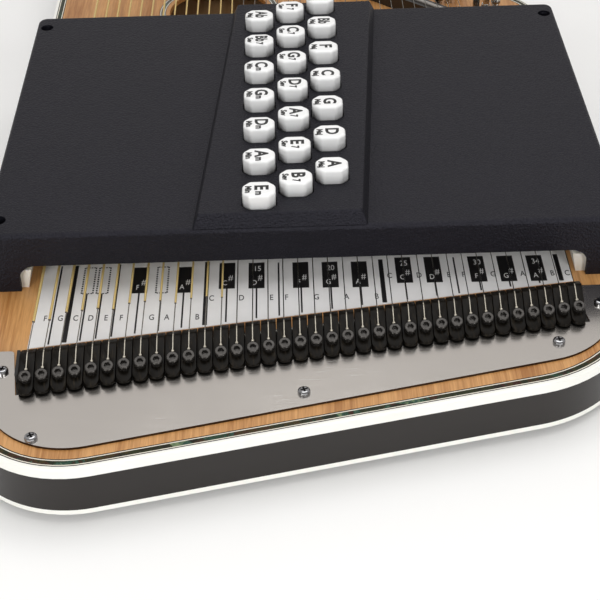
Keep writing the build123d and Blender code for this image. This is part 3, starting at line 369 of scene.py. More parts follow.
def cross_screw(shape, low, high, head_height, head_up=True):
    """Pan head screw with a cross recess that fills the box of a CAD screw, head up or down."""
    before = set(shape.verts)
    radius, length = (high.x - low.x) / 2, high.z - low.z
    rim = bmesh.ops.create_circle(shape, segments=24, radius=radius)["verts"]
    edges = list({edge for corner in rim for edge in corner.link_edges})
    for rise, reach in ((0.42, 1.0), (0.70, 0.93), (0.90, 0.76), (1.0, 0.58)):
        rim = [v for v in bmesh.ops.extrude_edge_only(shape, edges=edges)["geom"]
               if isinstance(v, bmesh.types.BMVert)]
        edges = [edge for edge in {e for v in rim for e in v.link_edges} if set(edge.verts) <= set(rim)]
        for corner in rim:
            flat = Vector((corner.co.x, corner.co.y, 0.0)).normalized() * radius * reach
            corner.co = (flat.x, flat.y, head_height * rise)
    arm, half = radius * 0.56, radius * 0.15
    plan = [(arm, -half), (arm, half), (half, half), (half, arm), (-half, arm), (-half, half), (-arm, half),
            (-arm, -half), (-half, -half), (-half, -arm), (half, -arm), (half, -half)]
    mouth = [shape.verts.new((x, y, head_height)) for x, y in plan]
    lips = [shape.edges.new((mouth[i - 1], mouth[i])) for i in range(12)]
    bmesh.ops.triangle_fill(shape, edges=edges + lips, use_beauty=True)
    # The walls and floor of the recess take the second material, the painted shade.
    floor_made = bmesh.ops.extrude_edge_only(shape, edges=lips)["geom"]
    for face in floor_made:
        if isinstance(face, bmesh.types.BMFace):
            face.material_index = 1
    deep = [v for v in floor_made if isinstance(v, bmesh.types.BMVert)]
    for corner in deep:
        corner.co = (corner.co.x * 0.5, corner.co.y * 0.5, head_height * 0.25)
    bmesh.ops.contextual_create(shape, geom=[e for e in floor_made if isinstance(e, bmesh.types.BMEdge)
                                             and set(e.verts) <= set(deep)], mat_nr=1)
    bmesh.ops.create_cone(shape, segments=12, radius1=radius * 0.25, radius2=radius * 0.5,
                          depth=length - head_height, cap_ends=True,
                          matrix=Matrix.Translation((0, 0, (head_height - length) / 2)))
    new = [v for v in shape.verts if v not in before]
    turned = Matrix.Rotation(0.5 + low.x * 40, 4, "Z")
    if not head_up:
        turned = Matrix.Rotation(math.pi, 4, "X") @ turned
    seat = high.z - head_height if head_up else low.z + head_height
    centre = Matrix.Translation(((low.x + high.x) / 2, (low.y + high.y) / 2, seat))
    bmesh.ops.transform(shape, matrix=centre @ turned, verts=new)


# Chrome over steel: a hard bluish mirror, its colour painted darker as a painted dark reflection, and patchy
# in random places from handling.
chrome, tree, surface = material("chrome_plated_steel_screw", Metallic=1.0)
place = add(tree, "TexCoord")
handling_and_dark_reflection = add(tree, "TexNoise", {"Vector": place.outputs["Object"], "Scale": 1 / 0.0015, "Detail": 2.0})
shades(tree, surface, handling_and_dark_reflection.outputs["Fac"], "6A6A6C", "C8C8CA")
add(tree, "MapRange", {"Value": handling_and_dark_reflection.outputs["Fac"], "To Min": 0.06, "To Max": 0.18},
    [("Result", surface.inputs["Roughness"])])
# The cross recess: painted shade, matt and almost black, where the recess lies in its own shadow.
recess, tree, surface = material("recess_painted_shade", Roughness=0.7, Specular_IOR_Level=0.2)
place = add(tree, "TexCoord")
recess_shade_mottle = add(tree, "TexNoise", {"Vector": place.outputs["Object"], "Scale": 1 / 0.0006, "Detail": 2.0})
shades(tree, surface, recess_shade_mottle.outputs["Fac"], "060606", "161514")
shape = bmesh.new()
for low, high in solids("anchor_plate_screws"):
    cross_screw(shape, low, high, 2.0 * MM)
bmesh.ops.recalc_face_normals(shape, faces=shape.faces)
piece(shape, "anchor_plate_cross_screws", "body", chrome, recess,
      stands_for=["anchor_plate_screws"], smooth=False)


# ---------------------------------------------------------------- fine tuner base and pivot rod
# A black die cast bed let into the top, with a steel rod along its front on which all the
# levers hook.
# Zinc casting, black coated: nearly black, dull, with fine casting grain.
cast_black, tree, surface = material("black_coated_zinc_casting", Roughness=0.5, Specular_IOR_Level=0.4)
place = add(tree, "TexCoord")
grain = add(tree, "TexNoise", {"Vector": place.outputs["Object"], "Scale": 1 / 0.0008, "Detail": 3.0})
shades(tree, surface, grain.outputs["Fac"], "0C0A09", "1A1714")
add(tree, "Bump", {"Height": grain.outputs["Fac"], "Distance": 0.00005, "Strength": 0.5},
    [("Normal", surface.inputs["Normal"])])
finish(cast_black, "fine_tuner_base")
# Drawn steel rod: grey, bright where the levers rub, with drawing lines along it.
drawn_steel, tree, surface = material("drawn_steel", Metallic=1.0)
place = add(tree, "TexCoord")
drawn = add(tree, "Mapping", {"Vector": place.outputs["Object"], "Scale": (0.05, 1.0, 1.0)})
lines = add(tree, "TexNoise", {"Vector": drawn.outputs["Vector"], "Scale": 1 / 0.0004, "Detail": 2.0})
shades(tree, surface, lines.outputs["Fac"], "8E8A86", "C9C6C1")
add(tree, "MapRange", {"Value": lines.outputs["Fac"], "To Min": 0.2, "To Max": 0.4},
    [("Result", surface.inputs["Roughness"])])
finish(drawn_steel, "fine_tuner_pivot_rod", "bridge_rods")

# A thin cheek stands at the bass end of the bed, cut like the side of a lever, and keeps the rod in.
TUNER_SLANT = math.radians(8.56)
TUNER_FRONT = -218.844 * MM
STRING_PITCH, FIRST_STRING = 7.0 * MM, -122.5 * MM
BED_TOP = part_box("note_label")[0].z
CHEEK_SIZE = (1.4 * MM, 13.0 * MM, 9.0 * MM)
CHEEK_OUT, CHEEK_BACK, CHEEK_RISE = 4.3 * MM, 8.0 * MM, 5.0 * MM    # its middle, from string, front and bed
CHEEK_SLOPE = 3.0 * MM                                              # how far its rear top is cut down
shape = bmesh.new()
cheek = Matrix.Translation((FIRST_STRING - CHEEK_OUT, TUNER_FRONT - CHEEK_BACK, BED_TOP + CHEEK_RISE))
made = bmesh.ops.create_cube(shape, size=1.0, matrix=cheek @ Matrix.Diagonal((*CHEEK_SIZE, 1.0)))
rear = [v for v in made["verts"] if v.co.z > BED_TOP + CHEEK_RISE and v.co.y < TUNER_FRONT - CHEEK_BACK]
bmesh.ops.translate(shape, verts=rear, vec=(0, 0, -CHEEK_SLOPE))
bed_cheek = piece(shape, "fine_tuner_bed_cheek", "body", cast_black, smooth=False)


# ---------------------------------------------------------------- fine tuner levers
# Thirty-six levers sawn from one black coated bar, each hooked on the rod. The sawing and
# filing leaves fine lines along them, and their edges are broken by tumbling.
def eased(name, new_name, body, width, *made, angle=35.0, segments=2):
    """Copy of a CAD node with its loose triangles merged and its sharp edges rounded to that width."""
    shape = bmesh.new()
    shape.from_mesh(nodes[name].data)
    bmesh.ops.remove_doubles(shape, verts=shape.verts, dist=0.000005)
    bmesh.ops.dissolve_limit(shape, angle_limit=math.radians(1.0), verts=shape.verts, edges=shape.edges)
    copy = piece(shape, new_name, body, *made, stands_for=[name])
    rounding = copy.modifiers.new("eased_edges", "BEVEL")
    rounding.width = width
    rounding.segments = segments
    rounding.limit_method = "ANGLE"
    rounding.angle_limit = math.radians(angle)
    rounding.harden_normals = True
    return copy


# Black oxide on steel under oil: brown-black, low sheen, with lines 0.5 mm apart along each
# lever and paler scuffed streaks.
lever_black, tree, surface = material("black_oxide_on_filed_steel", Specular_IOR_Level=0.1)
place = add(tree, "TexCoord")
turned = add(tree, "Mapping", {"Vector": place.outputs["Object"], "Rotation": (0, 0, -TUNER_SLANT)})
filed = add(tree, "Mapping", {"Vector": turned.outputs["Vector"], "Scale": (1.0, 0.035, 0.4)})
lines = add(tree, "TexNoise", {"Vector": filed.outputs["Vector"], "Scale": 1 / 0.0009, "Detail": 3.0,
                               "Roughness": 0.65})
tint = add(tree, "ValToRGB", {"Fac": lines.outputs["Fac"]}, [("Color", surface.inputs["Base Color"])])
ramp = tint.color_ramp
ramp.elements[0].position, ramp.elements[0].color = 0.30, linear("080604")
ramp.elements[1].position, ramp.elements[1].color = 0.80, linear("3C372C")
ramp.elements.new(0.55).color = linear("120F0B")
ramp.elements.new(0.66).color = linear("221D16")
add(tree, "MapRange", {"Value": lines.outputs["Fac"], "From Min": 0.3, "From Max": 0.7, "To Min": 0.3,
                       "To Max": 0.5}, [("Result", surface.inputs["Roughness"])])
add(tree, "Bump", {"Height": lines.outputs["Fac"], "Distance": 0.00008, "Strength": 0.6},
    [("Normal", surface.inputs["Normal"])])
eased("fine_tuner_levers", "fine_tuner_levers_filed", "tuner_levers", 0.12 * MM, lever_black)


# ---------------------------------------------------------------- fine tuner screws
# One socket head screw per lever. Turning it with a hex key pulls the lever down and raises
# the pitch of its string.
# Black oxide screw: dull dark grey, worn paler on the rim of the head and in the socket.
screw_black, tree, surface = material("black_oxide_socket_screw", Metallic=0.6)
place = add(tree, "TexCoord")
worn = add(tree, "TexNoise", {"Vector": place.outputs["Object"], "Scale": 1 / 0.0012, "Detail": 3.0})
shades(tree, surface, worn.outputs["Fac"], "161412", "4A4744")
add(tree, "MapRange", {"Value": worn.outputs["Fac"], "To Min": 0.18, "To Max": 0.32},
    [("Result", surface.inputs["Roughness"])])
eased("fine_tuner_screws", "fine_tuner_socket_screws", "tuner_screws", 0.35 * MM, screw_black, segments=3)


# ---------------------------------------------------------------- strings
# Steel music wire from the fine tuners over the bridge to the pins. The thirteen bass strings
# are wound with yellow bronze wire, which starts about 24 mm from the levers.
# Music wire: steel painted a darker mid grey as a painted dark reflection, darker than the same wire in the
# tails; the drawing lines are too fine to show, so only its sheen varies.
music_wire, tree, surface = material("music_wire_painted_darker", Metallic=1.0)
place = add(tree, "TexCoord")
spots = add(tree, "TexNoise", {"Vector": place.outputs["Object"], "Scale": 1 / 0.004, "Detail": 2.0})
shades(tree, surface, spots.outputs["Fac"], "6E6B64", "96928A")
add(tree, "MapRange", {"Value": spots.outputs["Fac"], "To Min": 0.07, "To Max": 0.14},
    [("Result", surface.inputs["Roughness"])])
finish(music_wire, "plain_strings")
# Tail of each string, twisted back on itself over the lever: the same wire, painted brighter as a painted
# highlight where it lies lit over the levers, and duller.
lit_tail_wire, tree, surface = material("tail_wire_painted_brighter", Metallic=0.6)
place = add(tree, "TexCoord")
twist = add(tree, "TexNoise", {"Vector": place.outputs["Object"], "Scale": 1 / 0.001, "Detail": 2.0})
shades(tree, surface, twist.outputs["Fac"], "B0A898", "D8D2C4")
add(tree, "MapRange", {"Value": twist.outputs["Fac"], "To Min": 0.35, "To Max": 0.5},
    [("Result", surface.inputs["Roughness"])])
finish(lit_tail_wire, "string_ends")
# Over the crest of each lever the wire bends from the string into its tail.
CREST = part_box("fine_tuner_levers")[1].z
CREST_BACK, BEND_WIRE = 5.06 * MM, 0.25 * MM
BEND = ((0.7 * MM, 0.37 * MM), (-0.5 * MM, 0.33 * MM), (-1.6 * MM, 0.02 * MM))    # along and above the crest
shape = bmesh.new()
for string in range(36):
    x = FIRST_STRING + string * STRING_PITCH
    crest_y = TUNER_FRONT + string * STRING_PITCH * math.tan(TUNER_SLANT) - CREST_BACK
    path = [Vector((x, crest_y + along, CREST + above)) for along, above in BEND]
    for start, stop in zip(path, path[1:]):
        way = stop - start
        bmesh.ops.create_cone(shape, segments=8, radius1=BEND_WIRE, radius2=BEND_WIRE,
                              depth=way.length * 1.1, cap_ends=True,
                              matrix=Matrix.Translation((start + stop) / 2)
                              @ way.to_track_quat("Z", "Y").to_matrix().to_4x4())
bends = piece(shape, "string_bends", "body", lit_tail_wire)
# Bronze winding over steel: the wrap is 0.3 mm wire, drawn here 0.6 mm apart so that it shows, each turn
# with a painted highlight on its crest and painted shade in the groove between turns.
# It starts 21 to 26 mm behind the levers and stops short of the pins, where the core is bare.
WINDING_STARTS = (21, 21, 25, 25, 25, 23, 26, 26, 25, 22, 24, 24, 22)
WIRE_START = TUNER_FRONT - 4.456 * MM
SADDLE = sum((corner.y for corner in solids("bridge_rods")[0]), 0.0) / 2
WINDING_SHARE = 0.4
bronze, tree, surface = material("bronze_wound_string", Metallic=0.6)
place = add(tree, "TexCoord")
part = add(tree, "SeparateXYZ", {0: place.outputs["Object"]})
count = add(tree, "MapRange", {"Value": part.outputs["X"], "From Min": FIRST_STRING - STRING_PITCH / 2,
                               "From Max": FIRST_STRING + STRING_PITCH * 12.5})
starts = add(tree, "ValToRGB", {"Fac": count.outputs["Result"]})
stops = add(tree, "ValToRGB", {"Fac": count.outputs["Result"]})
for ends in (starts, stops):
    ends.color_ramp.interpolation = "CONSTANT"
    ends.color_ramp.elements[1].position = 12 / 13
    for step in range(1, 12):
        ends.color_ramp.elements.new(step / 13)
for string, (length, pin) in enumerate(zip(WINDING_STARTS, solids("tuning_pins"))):
    begin = WIRE_START + string * STRING_PITCH * math.tan(TUNER_SLANT) + length * MM
    end = SADDLE + WINDING_SHARE * ((pin[0].y + pin[1].y) / 2 - SADDLE)
    starts.color_ramp.elements[string].color = (begin + 0.5, begin + 0.5, begin + 0.5, 1.0)
    stops.color_ramp.elements[string].color = (end + 0.5, end + 0.5, end + 0.5, 1.0)
along = add(tree, "Math", {0: part.outputs["Y"], 1: 0.5}, operation="ADD")
after = add(tree, "Math", {0: along.outputs["Value"], 1: starts.outputs["Color"]}, operation="GREATER_THAN")
until = add(tree, "Math", {0: along.outputs["Value"], 1: stops.outputs["Color"]}, operation="LESS_THAN")
wound = add(tree, "Math", {0: after.outputs["Value"], 1: until.outputs["Value"]}, operation="MULTIPLY")
wraps = add(tree, "TexWave", {"Vector": place.outputs["Object"], "Scale": 0.314 / (0.6 * MM)},
            bands_direction="Y")
# Painted highlight on each turn and painted shade between the turns.
wrap_highlight_and_shade = add(tree, "Mix", {"Factor": wraps.outputs["Fac"], 6: linear("C8A458"), 7: linear("F6E2A0")},
           data_type="RGBA")
add(tree, "Mix", {"Factor": wound.outputs["Value"], 6: linear("86827A"), 7: wrap_highlight_and_shade.outputs[2]},
    [(2, surface.inputs["Base Color"])], data_type="RGBA")
add(tree, "MapRange", {"Value": wound.outputs["Value"], "To Min": 0.22, "To Max": 0.36},
    [("Result", surface.inputs["Roughness"])])
ridge = add(tree, "Math", {0: wraps.outputs["Fac"], 1: wound.outputs["Value"]}, operation="MULTIPLY")
add(tree, "Bump", {"Height": ridge.outputs["Value"], "Distance": 0.0001, "Strength": 0.6},
    [("Normal", surface.inputs["Normal"])])
finish(bronze, "wound_strings")


# ---------------------------------------------------------------- note label
# A printed card glued on the top under the strings, that shows which key of a keyboard each
# string is. It is cut along the levers; the keys are drawn in three runs of one octave.
# Coated card: matt bluish white with a very faint fibre mottle.
card, tree, surface = material("coated_white_card", Roughness=0.42, Specular_IOR_Level=0.35)
place = add(tree, "TexCoord")
mottle = add(tree, "TexNoise", {"Vector": place.outputs["Object"], "Scale": 1 / 0.006, "Detail": 3.0})
shades(tree, surface, mottle.outputs["Fac"], "DEDDDC", "E8E7E7")
fibres = add(tree, "TexNoise", {"Vector": place.outputs["Object"], "Scale": 1 / 0.0006, "Detail": 2.0})
add(tree, "Bump", {"Height": fibres.outputs["Fac"], "Distance": 0.00001, "Strength": 0.3},
    [("Normal", surface.inputs["Normal"])])
finish(card, "note_label")

LABEL_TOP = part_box("note_label")[1].z
PRINT = 0.03 * MM
NOTES = ("F G C D E F F# G A A# B C C# D D# E F F# G G# A A# B C C# D D# E F F# G G# A A# B C").split()
NUMBERED = {14: "15", 19: "20", 24: "25", 29: "30", 33: "34"}
THICK_BARS, MISSING_KEYS = (1, 10, 22, 34), (2, 3, 7)
# Each run of keys: its first string, how far its keys stand to the right of their strings, the
# place of its letters and black keys at that string, and its slope.
OCTAVES = ((0, 2.1, -186.9, -168.9, -0.031), (11, 1.3, -175.4, -168.5, -0.030),
           (23, 1.4, -162.1, -168.2, -0.024))
BLACK_KEY, BLACK_KEY_LENGTH, MISSING_KEY = 7.6, 20.3, 5.3
KEY_LINE, KEY_BAR, KEY_TOP, KEY_RISE = 0.8, 2.2, -149.2, 2.2
LABEL_GAP, DASH_HALF, DASH, DASH_PITCH = 10.9, 0.4, 1.15, 1.75


def stripe(shape, left, right, near, far, height):
    """Flat printed rectangle between those sides, in mm."""
    place = Matrix.Translation(((left + right) / 2 * MM, (near + far) / 2 * MM, height))
    size = Matrix.Diagonal(((right - left) * MM, (far - near) * MM, 1.0, 1.0))
    bmesh.ops.create_grid(shape, x_segments=1, y_segments=1, size=0.5, matrix=place @ size)


def lettering(shape, text, tall, x, y, height, wide=0.62, heavy=0.0, turn=0.0):
    """Printed text, its capitals that tall in mm and narrowed by wide, centred on x and y."""
    curve = bpy.data.curves.new("lettering", "FONT")
    curve.body, curve.size = text, tall / 0.73 * MM
    curve.offset = heavy * MM
    curve.resolution_u = 3
    curve.align_x, curve.align_y = "CENTER", "BOTTOM_BASELINE"
    drawn = bpy.data.objects.new("lettering", curve)
    bpy.context.scene.collection.objects.link(drawn)
    outlines = bpy.data.meshes.new_from_object(drawn.evaluated_get(bpy.context.evaluated_depsgraph_get()))
    bpy.data.objects.remove(drawn)
    outlines.transform(Matrix.Translation((x * MM, y * MM, height)) @ Matrix.Rotation(turn, 4, "Z")
                       @ Matrix.Diagonal((wide, 1.0, 1.0, 1.0)) @ Matrix.Translation((0, -tall / 2 * MM, 0)))
    shape.from_mesh(outlines)
    bpy.data.meshes.remove(outlines)


black_print, grey_print, white_print = bmesh.new(), bmesh.new(), bmesh.new()
ink_height, over_height = LABEL_TOP + PRINT, LABEL_TOP + 2 * PRINT
for string, note in enumerate(NOTES):
    first, shift, letter_y, key_y, slope = [run for run in OCTAVES if run[0] <= string][-1]
    x = (FIRST_STRING + string * STRING_PITCH) / MM
    centre, drop = x + shift, slope * (string - first) * STRING_PITCH / MM
    edge = (TUNER_FRONT / MM) + (x + 122.5) * math.tan(TUNER_SLANT) + LABEL_GAP
    near, far = key_y + drop, key_y + drop + BLACK_KEY_LENGTH
    bound = centre + STRING_PITCH / MM / 2
    if "#" in note:
        stripe(black_print, centre - BLACK_KEY / 2, centre + BLACK_KEY / 2, near, far, ink_height)
        stripe(black_print, centre - KEY_LINE / 2, centre + KEY_LINE / 2, edge + 1.6, near, ink_height)
        lettering(white_print, note[0], 3.9, centre - 1.0, near + 4.7, over_height)
        lettering(white_print, "#", 4.6, centre + 1.75, near + 8.7, over_height, wide=0.6)
        if string in NUMBERED:
            lettering(white_print, NUMBERED[string], 4.2, centre + 0.4, near + 15.7, over_height, wide=0.66)
        continue
    lettering(grey_print, note, 4.2, centre, letter_y + drop, ink_height, heavy=0.07)
    if string + 1 == len(NOTES) or "#" in NOTES[string + 1]:
        continue
    low, width = edge + 1.4 + STRING_PITCH / MM / 2 * math.tan(TUNER_SLANT), KEY_LINE
    if string in THICK_BARS:
        width = KEY_BAR
    if string in MISSING_KEYS:
        stripe(black_print, bound - width / 2, bound + width / 2, low, near, ink_height)
        for side in (-1, 1):
            edge_of = bound + side * MISSING_KEY / 2
            for dash in range(12):
                start = near + dash * DASH_PITCH
                stripe(black_print, edge_of - DASH_HALF, edge_of + DASH_HALF,
                       start, start + DASH, ink_height)
        for dash in range(4):
            start = bound - MISSING_KEY / 2 + 0.3 + dash * 1.3
            for level in (near, far):
                stripe(black_print, start, start + 0.85, level - DASH_HALF, level + DASH_HALF,
                       ink_height)
    else:
        high = KEY_TOP + KEY_RISE * (string < OCTAVES[1][0])
        stripe(black_print, bound - width / 2, bound + width / 2, low, high, ink_height)
# Screen ink on the card: flat and slightly glossier than the card, black, grey and white.
for name, shape, dark, light in (("black", black_print, "0F0E10", "18171A"),
                                 ("grey", grey_print, "2C2B2E", "3E3D40"),
                                 ("white", white_print, "D8D8D8", "E6E6E6")):
    ink, tree, surface = material(name + "_screen_ink", Roughness=0.38)
    place = add(tree, "TexCoord")
    cover = add(tree, "TexNoise", {"Vector": place.outputs["Object"], "Scale": 1 / 0.003, "Detail": 2.0})
    shades(tree, surface, cover.outputs["Fac"], dark, light)
    print_of = piece(shape, "note_label_" + name + "_print", "body", ink, smooth=False)


# ---------------------------------------------------------------- bridge and tuning pins
# A black stained maple bridge with steel rods let into its crest, and beyond it steel tuning
# pins driven into the pin block, each with a squared top for the key.
# Stained maple under satin lacquer: black with the grain just showing.
bridge_maple, tree, surface = wood("black_stained_maple", "0E0B0A", "221C18", 1.2, 0.3, 0.4, 0.3)
finish(bridge_maple, "bridge_base")
# Nickel on steel: cool grey, half bright, rubbed brighter in patches by the key.
pin_nickel, tree, surface = material("nickel_plated_tuning_pin", Metallic=1.0)
place = add(tree, "TexCoord")
rubbed = add(tree, "TexNoise", {"Vector": place.outputs["Object"], "Scale": 1 / 0.003, "Detail": 3.0})
shades(tree, surface, rubbed.outputs["Fac"], "A8A5A0", "DAD7D2")
add(tree, "MapRange", {"Value": rubbed.outputs["Fac"], "To Min": 0.12, "To Max": 0.32},
    [("Result", surface.inputs["Roughness"])])
eased("tuning_pins", "tuning_pins_plated", "body", 0.3 * MM, pin_nickel)


# ---------------------------------------------------------------- chord bar holders and springs
# Two moulded combs, screwed to the top beside the strings, guide the bar ends. A small coil
# spring under each end lifts its bar off the strings.
# Natural nylon: milky and a little see-through, with a waxy sheen.
nylon, tree, surface = material("natural_nylon_moulded", Roughness=0.38, IOR=1.53, Subsurface_Weight=0.5,
                                Subsurface_Radius=(0.004, 0.004, 0.003))
place = add(tree, "TexCoord")
cloud = add(tree, "TexNoise", {"Vector": place.outputs["Object"], "Scale": 1 / 0.012, "Detail": 3.0})
shades(tree, surface, cloud.outputs["Fac"], "CFCBC0", "E6E3DA")
skin = add(tree, "TexNoise", {"Vector": place.outputs["Object"], "Scale": 1 / 0.001, "Detail": 2.0})
add(tree, "Bump", {"Height": skin.outputs["Fac"], "Distance": 0.00002, "Strength": 0.3},
    [("Normal", surface.inputs["Normal"])])
eased("bar_holder_bass", "bar_holder_bass_moulded", "body", 0.35 * MM, nylon)
eased("bar_holder_treble", "bar_holder_treble_moulded", "body", 0.35 * MM, nylon)
shape = bmesh.new()
for low, high in solids("bar_holder_screws"):
    cross_screw(shape, low, high, 1.4 * MM)
bmesh.ops.recalc_face_normals(shape, faces=shape.faces)
piece(shape, "bar_holder_cross_screws", "body", chrome, recess,
      stands_for=["bar_holder_screws"], smooth=False)
# Spring wire coils: bright turns 1.2 mm apart, with painted shade in the gaps between them.
spring_steel, tree, surface = material("coiled_spring_wire", Metallic=1.0, Roughness=0.3)
place = add(tree, "TexCoord")
turns = add(tree, "TexWave", {"Vector": place.outputs["Object"], "Scale": 0.314 / (1.2 * MM)},
            bands_direction="Z")
add(tree, "Mix", {"Factor": turns.outputs["Fac"], 6: linear("2A2826"), 7: linear("D4D0CA")},
    [(2, surface.inputs["Base Color"])], data_type="RGBA")
add(tree, "Bump", {"Height": turns.outputs["Fac"], "Distance": 0.0003, "Strength": 1.0},
    [("Normal", surface.inputs["Normal"])])
finish(spring_steel, "bar_springs")


# ---------------------------------------------------------------- chord bars
# Twenty-one bars across the strings. Each is an extruded aluminium bar with a strip of felt
# glued under it, notched to leave its chord free, and a moulded cap that names the chord.
CHORDS = "Em B7 A Am E7 D Dm A7 G Gm D7 C Cm G7 F Bb7 C7 Bb Ab F7 Eb".split()
BAR_FOOT, BAR_TOP = 49.0 * MM, 57.5 * MM
# Black anodised aluminium: grey-black satin, with extrusion lines 0.6 mm apart along the bar.
anodised, tree, surface = material("black_anodised_aluminium", Metallic=0.7, Roughness=0.42)
place = add(tree, "TexCoord")
drawn = add(tree, "Mapping", {"Vector": place.outputs["Object"], "Scale": (0.02, 1.0, 1.0)})
lines = add(tree, "TexNoise", {"Vector": drawn.outputs["Vector"], "Scale": 1 / 0.0006, "Detail": 2.0})
shades(tree, surface, lines.outputs["Fac"], "1A1A1C", "343437")
# Wool felt: off-white, dead matt, with a fuzzy nap of fibres about 0.5 mm apart.
felt, tree, surface = material("white_wool_felt", Roughness=0.95, Sheen_Weight=0.5, Specular_IOR_Level=0.1)
place = add(tree, "TexCoord")
nap = add(tree, "TexNoise", {"Vector": place.outputs["Object"], "Scale": 1 / 0.0005, "Detail": 4.0})
shades(tree, surface, nap.outputs["Fac"], "B9B4A8", "DEDACF")
add(tree, "Bump", {"Height": nap.outputs["Fac"], "Distance": 0.0003, "Strength": 0.7},
    [("Normal", surface.inputs["Normal"])])
# Moulded ABS cap: clean white, smooth and glossy, with a faint bluish cast in its shadows.
cap_white, tree, surface = material("white_abs_cap_moulded", Roughness=0.22, IOR=1.53,
                                    Subsurface_Weight=0.1, Subsurface_Radius=(0.002, 0.002, 0.002))
place = add(tree, "TexCoord")
cloud = add(tree, "TexNoise", {"Vector": place.outputs["Object"], "Scale": 1 / 0.008, "Detail": 2.0})
shades(tree, surface, cloud.outputs["Fac"], "F1F2F2", "F9F9F8")
orange = add(tree, "TexNoise", {"Vector": place.outputs["Object"], "Scale": 1 / 0.002, "Detail": 1.0})
add(tree, "Bump", {"Height": orange.outputs["Fac"], "Distance": 0.00003, "Strength": 0.25},
    [("Normal", surface.inputs["Normal"])])
# Pad printing ink on the cap: black with soft satin gloss.
cap_ink, tree, surface = material("black_pad_printing_ink", Roughness=0.35)
place = add(tree, "TexCoord")
cover = add(tree, "TexNoise", {"Vector": place.outputs["Object"], "Scale": 1 / 0.001, "Detail": 2.0})
shades(tree, surface, cover.outputs["Fac"], "0B0B0C", "1A1A1B")

for number, chord in enumerate(CHORDS, 1):
    node = f"chord_bar_{number:02d}"
    shape = bmesh.new()
    shape.from_mesh(nodes[node].data)
    caps = [face for face in shape.faces if min(v.co.z for v in face.verts) > BAR_TOP - 0.1 * MM
            and max(v.co.z for v in face.verts) > BAR_TOP + 0.1 * MM]
    button = [v for face in caps for v in face.verts]
    low = Vector([min(v.co[i] for v in button) for i in range(3)])
    high = Vector([max(v.co[i] for v in button) for i in range(3)])
    bmesh.ops.delete(shape, geom=caps, context="FACES")
    for face in shape.faces:
        face.material_index = int(face.calc_center_median().z < BAR_FOOT + 0.01 * MM
                                  and min(v.co.z for v in face.verts) < BAR_FOOT - 0.01 * MM)
    piece(shape, node + "_bar_and_felt", node, anodised, felt, stands_for=[node], smooth=False)

    # The cap: a solid block 13 mm tall with cut corners and a rounded top edge, on a small stem down to the
    # bar.
    shape = bmesh.new()
    size = high - low
    skirt = 13.0 * MM
    block = Matrix.Translation(((low.x + high.x) / 2, (low.y + high.y) / 2, high.z - skirt / 2))
    bmesh.ops.create_cube(shape, size=1.0, matrix=block @ Matrix.Diagonal((size.x, size.y, skirt, 1.0)))
    upright = [e for e in shape.edges if abs(e.verts[0].co.z - e.verts[1].co.z) > skirt / 2]
    bmesh.ops.bevel(shape, geom=upright, offset=3.4 * MM, offset_type="OFFSET", segments=1, profile=0.5,
                    affect="EDGES", material=-1)
    upright = [e for e in shape.edges if abs(e.verts[0].co.z - e.verts[1].co.z) > skirt / 2]
    bmesh.ops.bevel(shape, geom=upright, offset=1.0 * MM, offset_type="OFFSET", segments=3, profile=0.5,
                    affect="EDGES", material=-1)
    rim = [e for e in shape.edges if min(v.co.z for v in e.verts) > high.z - 0.01 * MM]
    bmesh.ops.bevel(shape, geom=rim, offset=1.5 * MM, offset_type="OFFSET", segments=5, profile=0.5,
                    affect="EDGES", material=-1)
    stem = Matrix.Translation(((low.x + high.x) / 2, (low.y + high.y) / 2,
                               (low.z + high.z - skirt) / 2 + 0.5 * MM))
    bmesh.ops.create_cube(shape, size=1.0, matrix=stem @ Matrix.Diagonal(
        (6.0 * MM, 5.0 * MM, high.z - skirt - low.z + 1.0 * MM, 1.0)))
    cap = piece(shape, node + "_cap", node, cap_white, stands_for=[node])
    rounding = cap.modifiers.new("weighted_shading", "WEIGHTED_NORMAL")
    rounding.keep_sharp = True

    # The chord name reads from the far side of the cap towards the near side.
    shape = bmesh.new()
    root, suffix = chord.rstrip("m7"), chord[len(chord.rstrip("m7")):]
    x, y = (low.x + high.x) / 2 / MM, (low.y + high.y) / 2 / MM
    across = -math.pi / 2
    narrow = 0.92 if len(root) == 1 else 0.7
    lettering(shape, root, 6.4, x + 1.5, y + (0.5 if suffix else -0.3), high.z + PRINT, narrow, 0.32, across)
    if suffix:
        lettering(shape, suffix, 3.6, x + 0.4, y - (4.1 if len(root) == 1 else 4.7), high.z + PRINT,
                  0.8, 0.25, across)
    lettering(shape, {"": "Maj", "m": "Min", "7": "Sev"}[suffix], 2.9, x - 4.7, y - 0.9, high.z + PRINT,
              0.95, 0.2, across)
    mark = piece(shape, node + "_lettering", node, cap_ink, smooth=False)


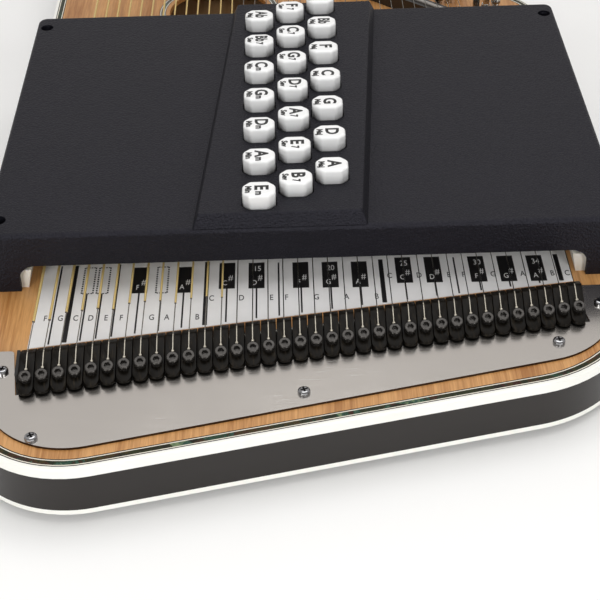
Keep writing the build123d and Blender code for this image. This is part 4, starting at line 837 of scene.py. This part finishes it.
# ---------------------------------------------------------------- chord bar cover
# One ABS moulding over all the bars, arched over the strings at both ends, with a raised panel
# that the caps come through. Four screws in its corners hold it down.
# Black ABS with a moulded leather grain, about 0.9 mm from hollow to hollow: a bluish black
# satin that sparkles a little on the rounded edges.
abs_grain, tree, surface = material("black_abs_leather_grain", IOR=1.5, Specular_IOR_Level=0.30,
                                    Specular_Tint=linear("F0EEFF"))
place = add(tree, "TexCoord")
cloud = add(tree, "TexNoise", {"Vector": place.outputs["Object"], "Scale": 1 / 0.03, "Detail": 3.0})
shades(tree, surface, cloud.outputs["Fac"], "0A0B10", "100F16")
cells = add(tree, "TexVoronoi", {"Vector": place.outputs["Object"], "Scale": 1 / 0.0009},
            feature="SMOOTH_F1")
fine = add(tree, "TexNoise", {"Vector": place.outputs["Object"], "Scale": 1 / 0.0004, "Detail": 2.0})
height = add(tree, "Math", {0: fine.outputs["Fac"], 1: 0.35, 2: cells.outputs["Distance"]},
             operation="MULTIPLY_ADD")
add(tree, "Bump", {"Height": height.outputs["Value"], "Distance": 0.0004, "Strength": 1.0},
    [("Normal", surface.inputs["Normal"])])
add(tree, "MapRange", {"Value": cells.outputs["Distance"], "To Min": 0.42, "To Max": 0.58},
    [("Result", surface.inputs["Roughness"])])
finish(abs_grain, "chord_bar_cover")
shape = bmesh.new()
for low, high in solids("cover_screws"):
    cross_screw(shape, low, high, 2.0 * MM)
bmesh.ops.recalc_face_normals(shape, faces=shape.faces)
piece(shape, "cover_cross_screws", "body", chrome, recess, stands_for=["cover_screws"], smooth=False)


# ---------------------------------------------------------------- feet
# Four round rubber feet, each held to the back by a pan head screw sunk in its middle.
# Moulded rubber: dull charcoal with a dusty, slightly pitted skin.
rubber, tree, surface = material("moulded_black_rubber", Roughness=0.8, Specular_IOR_Level=0.3)
place = add(tree, "TexCoord")
dust = add(tree, "TexNoise", {"Vector": place.outputs["Object"], "Scale": 1 / 0.002, "Detail": 4.0})
shades(tree, surface, dust.outputs["Fac"], "141413", "282725")
add(tree, "Bump", {"Height": dust.outputs["Fac"], "Distance": 0.0001, "Strength": 0.5},
    [("Normal", surface.inputs["Normal"])])
eased("rubber_feet", "rubber_feet_moulded", "body", 0.8 * MM, rubber, segments=3)
shape = bmesh.new()
for low, high in solids("foot_screws"):
    cross_screw(shape, low, high, 1.6 * MM, head_up=False)
bmesh.ops.recalc_face_normals(shape, faces=shape.faces)
piece(shape, "foot_cross_screws", "body", chrome, recess, stands_for=["foot_screws"], smooth=False)
